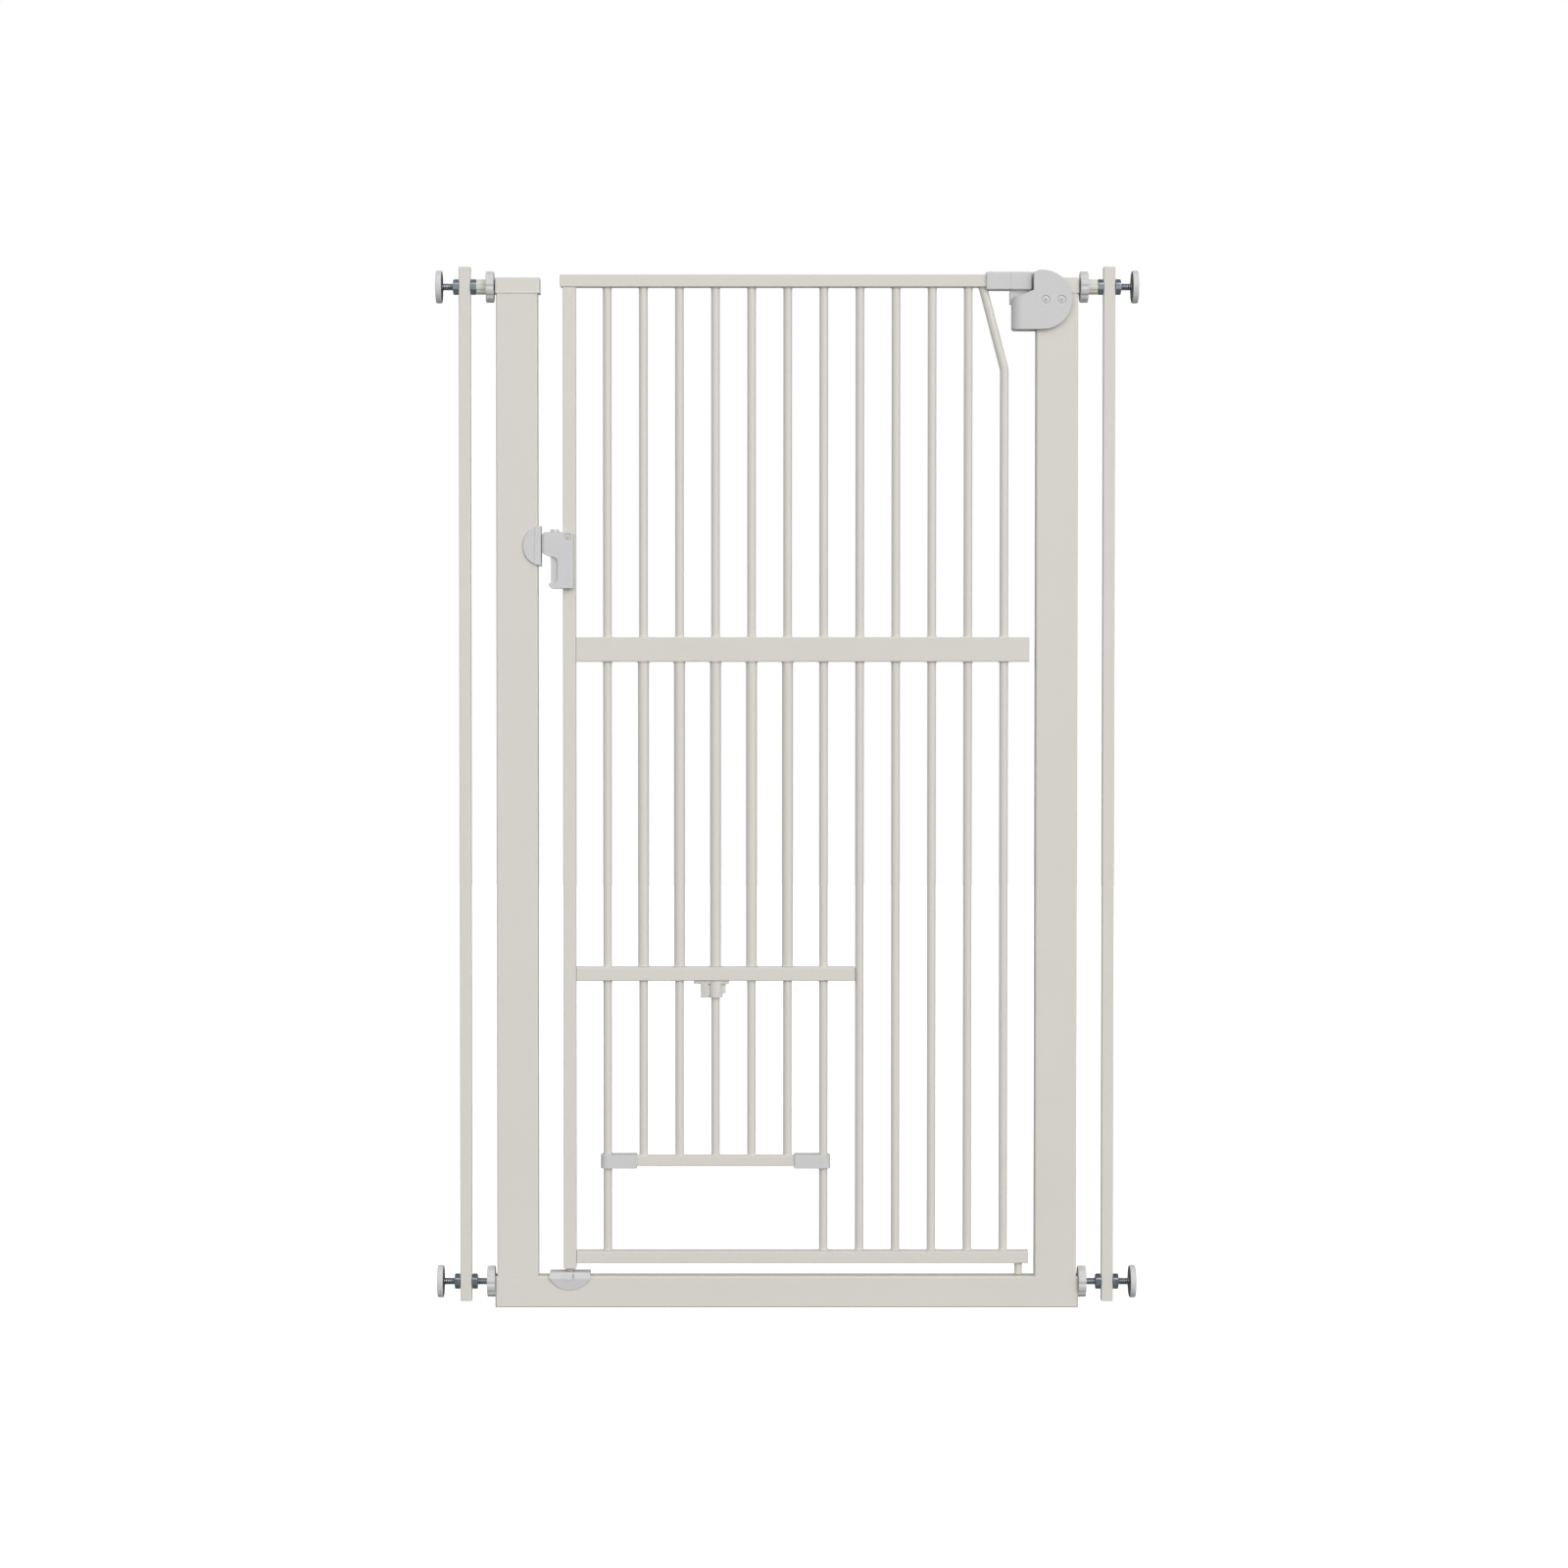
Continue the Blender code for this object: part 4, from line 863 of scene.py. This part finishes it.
def foot_pivot():
    z = spans("foot_pivot")[2]
    r, neck, foot = 0.003, 0.0436, spans("stile")[2][0] - GAP
    profile = foot_end(r, z[0]) + [(r, neck - 0.0004)]
    profile += [(0.0062, neck), (0.0067, neck + 0.0003), (0.0072, foot - 0.0002), (0.0070, foot)]
    made = turned("foot_pivot", profile, "Z", (HINGE_X, 0))
    half = 0.0060
    plug = round_rect((HINGE_X - half, HINGE_X + half), (-half, half), 0.0006, 2)
    join(made, pillow("plug", plug, "Z", (foot - 0.001, z[1]), (0.0, 0.0005)))
    piece(made, "plastic", "foot_pivot")


HANDLE_CORNER = 0.0014
TONGUE_END_X = 0.2803


def handle_end():
    """The cap on the top rail's free end, with the tongue that drops into the latch."""
    x, y, z = spans("handle_end")
    rail_x, rail_y, rail_z = spans("top_rail")
    slider_x, _, slider_z = spans("handle_slider")
    cap_x = (slider_x[1] + 2 * GAP, x[1])
    outline = round_rect(y, slider_z, HANDLE_CORNER, 4)
    made = pillow("handle_end", outline, "X", cap_x, (0.0005, 0.0007))
    tongue = round_rect((x[0], TONGUE_END_X), (-0.005, 0.005), 0.0006, 2)
    tall = (z[0], slider_z[0] + 0.002)
    solid = pillow("tongue", tongue, "Z", tall, (0.0005, 0.0))
    under_x, under_z = (x[0] - PAST, cap_x[0] + 0.0001), (slider_z[0] - GAP, tall[1] + PAST)
    cut(solid, box(under_x, (-PAST, PAST), under_z))
    join(made, solid)
    flange = round_rect(shrink(y, 0.0002), shrink(slider_z, 0.0002), 0.0013, 4)
    join(made, pillow("flange", flange, "X", (slider_x[1] + 0.0001, cap_x[0] + 0.001)))
    cavity = box((cap_x[0] - PAST, rail_x[1] + GAP), shrink(rail_y, -GAP), shrink(rail_z, -GAP))
    piece(cut(made, cavity), "plastic", "handle_end")


def handle_slider():
    """The thumb slider: a channel over the top rail, with a shallow grip on top."""
    x, y, z = spans("handle_slider")
    rail_y, rail_z = spans("top_rail")[1:]
    outline = round_rect(y, z, HANDLE_CORNER, 4)
    made = pillow("handle_slider", outline, "X", x, (0.0009, 0.0005))
    channel = box(shrink(x, -PAST), shrink(rail_y, -0.0004), (z[0] - PAST, rail_z[1] + GAP))
    cut(made, channel)
    start, pitch, r, groove_y = 0.008, 0.0028, 0.0014, (-0.0075, 0.0075)
    for k in range(5):
        centre = (x[0] + start + k * pitch, z[1] + 0.0009)
        cut(made, pillow("groove", circle(centre, r, 16), "Y", groove_y))
    piece(made, "plastic", "handle_slider")


# -------------------- pet door and its lock
GRILLE_RAIL_Z = (0.1637, 0.1758)
LOCK_FLANGE_Y = (-0.0055, 0.0055)
LOCK_FLANGE_Z = 0.3752
LOCK_NOSE_Y, LOCK_NOSE_Z = (-0.0036, 0.0036), (0.3618, 0.3732)


def pet_grille():
    """Five bars welded to a rail. They run up inside the wider tubes above the lintel."""
    x, y, z = spans("pet_grille")
    high = GRILLE_RAIL_Z[1]
    made = pillow("pet_grille", round_rect(y, GRILLE_RAIL_Z, 0.0011), "X", x, 0.0004)
    for number in WIDE_BARS:
        profile = [(BAR_RADIUS, high - 0.003), (BAR_RADIUS + 0.0012, high - 0.0005)]
        profile += weld(BAR_RADIUS, high, True)
        profile += [(BAR_RADIUS, z[1] - 0.0008), (BAR_RADIUS - 0.0008, z[1])]
        join(made, turned("bar", profile, "Z", (bar_x(number), 0)))
    piece(made, "enamel", "pet_grille")


def pet_clip(side_name):
    """A moulded clip that runs on a guide bar: round outside, square at the rail."""
    node, side = f"pet_clip_{side_name}", SIDES[side_name]
    x, y, z = spans(node)
    rail_x, rail_y, _ = spans("pet_grille")
    outer, inner = 0.0076, 0.0012
    corners = (inner, outer, outer, inner) if side < 0 else (outer, inner, inner, outer)
    made = pillow(node, round_rect(x, y, corners, 8), "Z", z, (0.0004, 0.0010))
    drill(made, "Z", (bar_x(1 if side < 0 else 7), 0), BAR_HOLE, shrink(z, -PAST), 32)
    rail_end = (rail_x[0] - GAP, x[1] + PAST) if side < 0 else (x[0] - PAST, rail_x[1] + GAP)
    cut(made, box(rail_end, shrink(rail_y, -GAP), shrink(GRILLE_RAIL_Z, -GAP)))
    piece(made, "plastic", node)


def pet_lock_body():
    """A flange and collar under the lintel, round the middle bar of the pet door."""
    x, _, z = spans("pet_lock_body")
    centre = (bar_x(4), 0)
    r, (low, top) = 0.00825, z
    flange = round_rect(x, LOCK_FLANGE_Y, 0.0014, 4)
    made = pillow("pet_lock_body", flange, "Z", (LOCK_FLANGE_Z, top), (0.0007, 0.0002))
    collar = [(r - 0.0004, low), (r - 0.0001, low + 0.0001), (r, low + 0.0004), (r, top - 0.0004)]
    collar += [(r - 0.0002, top - 0.0002)]
    join(made, turned("collar", collar, "Z", centre, count=40))
    tab = round_rect((centre[0] + 0.006, centre[0] + 0.0119), (-0.003, 0.003), 0.0006, 2)
    join(made, pillow("tab", tab, "Z", (0.364, LOCK_FLANGE_Z + 0.001), (0.0005, 0.0)))
    drill(made, "Z", centre, BAR_HOLE, (low - PAST, top + PAST), 32)
    window_x = (centre[0] - 0.0095, centre[0] - 0.003)
    window = box(window_x, shrink(LOCK_NOSE_Y, -GAP), shrink(LOCK_NOSE_Z, -GAP))
    piece(cut(made, window), "lock_plastic", "pet_lock_body")


def pet_lock_button():
    """A push button astride the flange, with grip grooves on its front and its outer face."""
    x, y, z = spans("pet_lock_button")
    centre = bar_x(4)
    r, hollow = 0.0009, 0.0113
    turn = math.degrees(math.asin(y[1] / hollow))
    face = arc((x[0] + r, y[1] - r), r, 90, 180, 3) + arc((x[0] + r, y[0] + r), r, 180, 270, 3)
    face += arc((centre, 0), hollow, 180 + turn, 180 - turn, 12)
    made = pillow("pet_lock_button", face, "Z", z, (0.0005, 0.0003))
    slot_z = (LOCK_FLANGE_Z - GAP, z[1] + PAST)
    cut(made, box((x[0] - PAST, centre), shrink(LOCK_FLANGE_Y, -GAP), slot_z))
    front, outer = (y[0] - PAST, y[0] + 0.0005), (x[0] - PAST, x[0] + 0.0006)
    for k in range(3):
        at = x[0] + 0.0016 + k * 0.0018
        cut(made, box((at, at + 0.0007), front, shrink(z, 0.0011)))
    for k in range(3):
        low = 0.3629 + k * 0.0036
        cut(made, box(outer, (-PAST, PAST), (low, low + 0.0012)))
    nose = round_rect(LOCK_NOSE_Y, LOCK_NOSE_Z, 0.0005, 2)
    join(made, pillow("nose", nose, "X", (centre - hollow - 0.001, x[1]), (0.0, 0.0005)))
    piece(made, "lock_plastic", "pet_lock_button")


# -------------------- wall spindles
RING_STEPS = 36
THREAD_PITCH, THREAD_DEPTH, THREAD_STEPS = 0.0025, 0.00055, 8
ROD_RADIUS, THREAD_BORE = 0.004, 0.00435
NUT_CORNER, NUT_CHAMFER, NUT_EDGE, FIXED_NUT = 0.009, 0.0082, 0.0006, 0.0062


def spindle_ring(z, x, radius):
    """A ring of points round a spindle. radius is a number, or gives one for each step."""
    points = []
    for i in range(RING_STEPS):
        a = 2 * math.pi * i / RING_STEPS
        r = radius(i) if callable(radius) else radius
        points.append((x, r * math.sin(a), z + r * math.cos(a)))
    return points


def hexagon_radius(step):
    """A hexagon's radius at a step round it, with a corner at the start."""
    a = (360 * step / RING_STEPS) % 60 - 30
    return NUT_CORNER * math.cos(math.radians(30)) / math.cos(math.radians(a))


def nut_rings(z, start, end, side=1):
    """A hexagon nut's outside, with the corners chamfered at both ends."""
    chamfered = lambda step: min(hexagon_radius(step), NUT_CHAMFER)
    places = (
        (start, chamfered), (start + NUT_EDGE, hexagon_radius),
        (end - NUT_EDGE, hexagon_radius), (end, chamfered),
    )
    return [spindle_ring(z, side * x, radius) for x, radius in places]


def thread_radius(x, side):
    """A rolled thread's radius at a step round the rod, for a ring at x."""
    def radius(i):
        turn = (side * x / THREAD_PITCH + i / RING_STEPS) % 1.0
        crest = 0.5 + 0.5 * math.cos(2 * math.pi * turn)
        return ROD_RADIUS - THREAD_DEPTH * (1 - crest ** 0.8)
    return radius


def spindle(side_name, level):
    """A threaded rod with its fixed nut, as one piece."""
    node, side, z = f"rod_{side_name}_{level}", SIDES[side_name], SPINDLE_Z[level]
    reach = sorted(abs(v) for v in spans(node)[0])
    bar = sorted(abs(v) for v in spans(f"side_bar_{side_name}")[0])
    nut_start = bar[1] + GAP
    nut_end = nut_start + FIXED_NUT
    step = THREAD_PITCH / THREAD_STEPS
    rings = [spindle_ring(z, side * reach[0], ROD_RADIUS - 0.0008)]
    at = reach[0] + 0.0006
    while at < reach[1] - 0.0002:
        if not nut_start - step < at < nut_end + step:
            rings.append(spindle_ring(z, side * at, thread_radius(side * at, side)))
        elif at <= nut_start:
            rings.append(spindle_ring(z, side * nut_start, ROD_RADIUS - 0.0002))
            rings += nut_rings(z, nut_start, nut_end, side)
            rings.append(spindle_ring(z, side * nut_end, ROD_RADIUS - 0.0002))
        at += step
    rings.append(spindle_ring(z, side * reach[1], ROD_RADIUS - 0.0004))
    piece(loft(node, rings), "zinc", node)


def lock_nut(side_name, level):
    """A hexagon nut with a bore that widens at both ends."""
    node, z = f"nut_{side_name}_{level}", SPINDLE_Z[level]
    low, high = spans(node)[0]
    mouth, depth = 0.0048, 0.0005
    rings = nut_rings(z, low, high)
    rings += [spindle_ring(z, high, mouth), spindle_ring(z, high - depth, THREAD_BORE)]
    rings += [spindle_ring(z, low + depth, THREAD_BORE), spindle_ring(z, low, mouth)]
    piece(loft(node, rings, closed=True), "zinc", node)


def wall_pad(side_name, level):
    """A round rubber foot with a rounded rim."""
    node, side, z = f"pad_{side_name}_{level}", SIDES[side_name], SPINDLE_Z[level]
    x = sorted(abs(v) for v in spans(node)[0])
    r, hub, edge = 0.01875, 0.0004, 0.0014

    def rim(at, *turns):
        angles = [math.radians(turn) for turn in turns]
        return [(r - edge + edge * math.sin(a), at - edge * math.cos(a)) for a in angles]

    profile = [(hub, x[0]), (r - edge, x[0])]
    profile += rim(x[0] + edge, 22, 45, 68, 90) + rim(x[1] - edge, 90, 112, 135, 158, 180)
    profile += [(hub, x[1])]
    profile = [(radius, side * at) for radius, at in profile]
    piece(turned(node, profile, "X", (0, z), count=48), "pad_rubber", node)


WHEEL_LOBES, WHEEL_RADIUS, WHEEL_GROOVE = 10, 0.018, 0.0013
SLEEVE_LOBES, SLEEVE_RADIUS, SLEEVE_GROOVE = 8, 0.0087, 0.0009


def lobed(radius, groove, lobes, share, steps, turn=0.0):
    """A round outline with a rounded groove between lobes. share is the groove's part."""
    points = []
    count = lobes * steps
    for i in range(count):
        place = (i / steps) % 1.0
        away = min(place, 1 - place) / (share / 2)
        dip = groove * (1 - away ** 2) if away < 1 else 0.0
        a = 2 * math.pi * (i / count) + turn
        points.append((a, radius - dip))
    return points


def around(polar, z):
    return [(r * math.sin(a), z + r * math.cos(a)) for a, r in polar]


def hand_wheel(side_name, level):
    node, z = f"hand_wheel_{side_name}_{level}", SPINDLE_Z[level]
    x = spans(node)[0]
    turn = math.radians(15)
    outline = around(lobed(WHEEL_RADIUS, WHEEL_GROOVE, WHEEL_LOBES, 0.42, 10, turn), z)
    bore = bore_like(outline, (0, z), THREAD_BORE)
    piece(sleeve(node, outline, bore, "X", x, 0.0009), "plastic", node)


def spacer_sleeve(side_name):
    node, z = f"sleeve_{side_name}_top", SPINDLE_Z["top"]
    x = spans(node)[0]
    turn = math.radians(11)
    outline = around(lobed(SLEEVE_RADIUS, SLEEVE_GROOVE, SLEEVE_LOBES, 0.3, 10, turn), z)
    bore = bore_like(outline, (0, z), THREAD_BORE)
    piece(sleeve(node, outline, bore, "X", x, 0.0003), "sleeve_plastic", node)


def side_bar(side_name):
    """The upright square tube outside each post, plugged and rounded at its ends."""
    node = f"side_bar_{side_name}"
    x, y, z = spans(node)
    made = pillow(node, round_rect(x, y, 0.0012), "Z", z, 0.0009)
    for level in LEVELS:
        drill(made, "X", (0, SPINDLE_Z[level]), ROD_HOLE, shrink(x, -PAST))
    piece(made, "enamel", node)


# -------------------- making it all
def make_frame():
    floor_rail()
    for side_name in SIDES:
        post(side_name)
        post_cap(side_name)
        rail_plug(side_name)
    for half in ("front", "back"):
        latch_housing(half)
    upper_saddle()
    hinge_block()
    hinge_pin()
    lower_saddle()


def make_door():
    stile()
    top_rail()
    for node, holes in (("mid_rail", range(1, 13)), ("lintel", range(1, 8)), ("low_rail", ())):
        piece(rail(node, 0.0005, holes), "enamel", node)
    for number in range(1, 12):
        straight_bar(number)
    bent_bar(12)
    stop_pin()
    foot_pivot()
    handle_end()
    handle_slider()
    pet_grille()
    for side_name in SIDES:
        pet_clip(side_name)
    pet_lock_body()
    pet_lock_button()


def make_spindles():
    for side_name in SIDES:
        side_bar(side_name)
        spacer_sleeve(side_name)
        for level in LEVELS:
            spindle(side_name, level)
            lock_nut(side_name, level)
            wall_pad(side_name, level)
            hand_wheel(side_name, level)


def dress_cad(node, slot, width):
    """A CAD node whose shape is right keeps its mesh and gets soft edges and a material."""
    shown = frame["nodes"][node]
    shown.data.materials.clear()
    shown.data.materials.append(MATERIALS[slot])
    soft = shown.modifiers.new("soften", "BEVEL")
    soft.width = width
    soft.segments = 2
    soft.limit_method = "ANGLE"
    soft.angle_limit = math.radians(35)


# -------------------- studio
LIGHTS = (
    # azimuth from the camera towards +X, elevation, sharpness, strength
    (45, 15, 12.0, 3.03),
    (-45, 15, 12.0, 1.80),
    (30, 30, 12.0, 1.10),
    (0, 30, 10.0, 1.08),
    (0, 65, 8.0, 0.60),
    (-120, 15, 6.0, 0.38),
    (-150, 40, 6.0, 0.53),
    (-150, 15, 6.0, 0.17),
)
AMBIENT = 0.004
WHITE = (1.0, 1.0, 1.0, 1.0)


def direction(azimuth, elevation):
    a, e = math.radians(azimuth), math.radians(elevation)
    return math.sin(a) * math.cos(e), -math.cos(a) * math.cos(e), math.sin(e)


def for_camera(tree, others, seen, surface):
    """Gives the camera's own rays one shader, and all other rays another."""
    mix = tree.nodes.new("ShaderNodeMixShader")
    rays = tree.nodes.new("ShaderNodeLightPath").outputs["Is Camera Ray"]
    for source, target in zip((rays, others.outputs[0], seen.outputs[0]), mix.inputs):
        tree.links.new(source, target)
    tree.links.new(mix.outputs[0], surface)


def studio_light():
    """Soft lamps as smooth patches of the sky, and a plain pale backdrop for the camera."""
    world = bpy.data.worlds.new("studio")
    world.use_nodes = True
    tree = world.node_tree
    link = tree.links.new
    background = tree.nodes["Background"]
    place = tree.nodes.new("ShaderNodeTexCoord").outputs["Generated"]

    def math_node(operation, first, second):
        made = tree.nodes.new("ShaderNodeMath")
        made.operation = operation
        for socket, value in zip(made.inputs, (first, second)):
            if isinstance(value, (int, float)):
                socket.default_value = value
            else:
                link(value, socket)
        return made.outputs[0]

    total = None
    for azimuth, elevation, sharpness, strength in LIGHTS:
        dot = tree.nodes.new("ShaderNodeVectorMath")
        dot.operation = "DOT_PRODUCT"
        dot.inputs[1].default_value = direction(azimuth, elevation)
        link(place, dot.inputs[0])
        fall = math_node("MULTIPLY", math_node("SUBTRACT", dot.outputs["Value"], 1.0), sharpness)
        patch = math_node("MULTIPLY", math_node("EXPONENT", fall, 0.0), strength)
        total = math_node("ADD", patch, AMBIENT if total is None else total)
    backdrop = tree.nodes.new("ShaderNodeBackground")
    for shader in (background, backdrop):
        shader.inputs["Color"].default_value = WHITE
    link(total, background.inputs["Strength"])
    for_camera(tree, background, backdrop, tree.nodes["World Output"].inputs["Surface"])
    bpy.context.scene.world = world


def back_light():
    """A soft lamp low behind the gate, which lights its back and leaves no gloss in front."""
    data = bpy.data.lights.new("back_light", "SUN")
    data.energy, data.angle = 1.5, math.radians(30)
    made = bpy.data.objects.new("back_light", data)
    made.rotation_euler = (math.radians(-85), 0, 0)
    made.visible_glossy = False
    bpy.context.scene.collection.objects.link(made)


def floor():
    """A plain pale floor just under the gate, which glows nearly white for the camera alone."""
    bm = bmesh.new()
    reach, height = 9.0, -0.0002
    corners = [(-reach, -reach), (reach, -reach), (reach, reach), (-reach, reach)]
    bm.faces.new([bm.verts.new((x, y, height)) for x, y in corners])
    made = as_object("studio_floor", bm)
    material = bpy.data.materials.new("studio_floor")
    material.use_nodes = True
    tree = material.node_tree
    shader = tree.nodes["Principled BSDF"]
    shader.inputs["Base Color"].default_value = (0.40, 0.40, 0.40, 1.0)
    shader.inputs["Roughness"].default_value = 0.9
    shader.inputs["Specular IOR Level"].default_value = 0.1
    glow = tree.nodes.new("ShaderNodeEmission")
    glow.inputs["Strength"].default_value = 0.93
    total = tree.nodes.new("ShaderNodeAddShader")
    tree.links.new(shader.outputs[0], total.inputs[0])
    tree.links.new(glow.outputs[0], total.inputs[1])
    for_camera(tree, shader, total, tree.nodes["Material Output"].inputs["Surface"])
    made.data.materials.append(material)


def camera():
    """Straight on, a little above the gate's middle and left of it, tipped down slightly."""
    data = bpy.data.cameras.new("camera")
    data.sensor_width = 36.0
    data.lens = 91.2
    data.shift_x, data.shift_y = 0.0423, -0.0078
    data.clip_start, data.clip_end = 0.1, 60.0
    made = bpy.data.objects.new("camera", data)
    made.location = (-0.08, -4.6, 0.74)
    made.rotation_euler = (math.radians(90 - 1.48), 0, 0)
    bpy.context.scene.collection.objects.link(made)
    bpy.context.scene.camera = made


make_frame()
make_door()
make_spindles()
dress_cad("hinge_bush", "plastic", 0.0003)
studio_light()
back_light()
floor()
camera()
bpy.context.scene.view_settings.view_transform = "Standard"
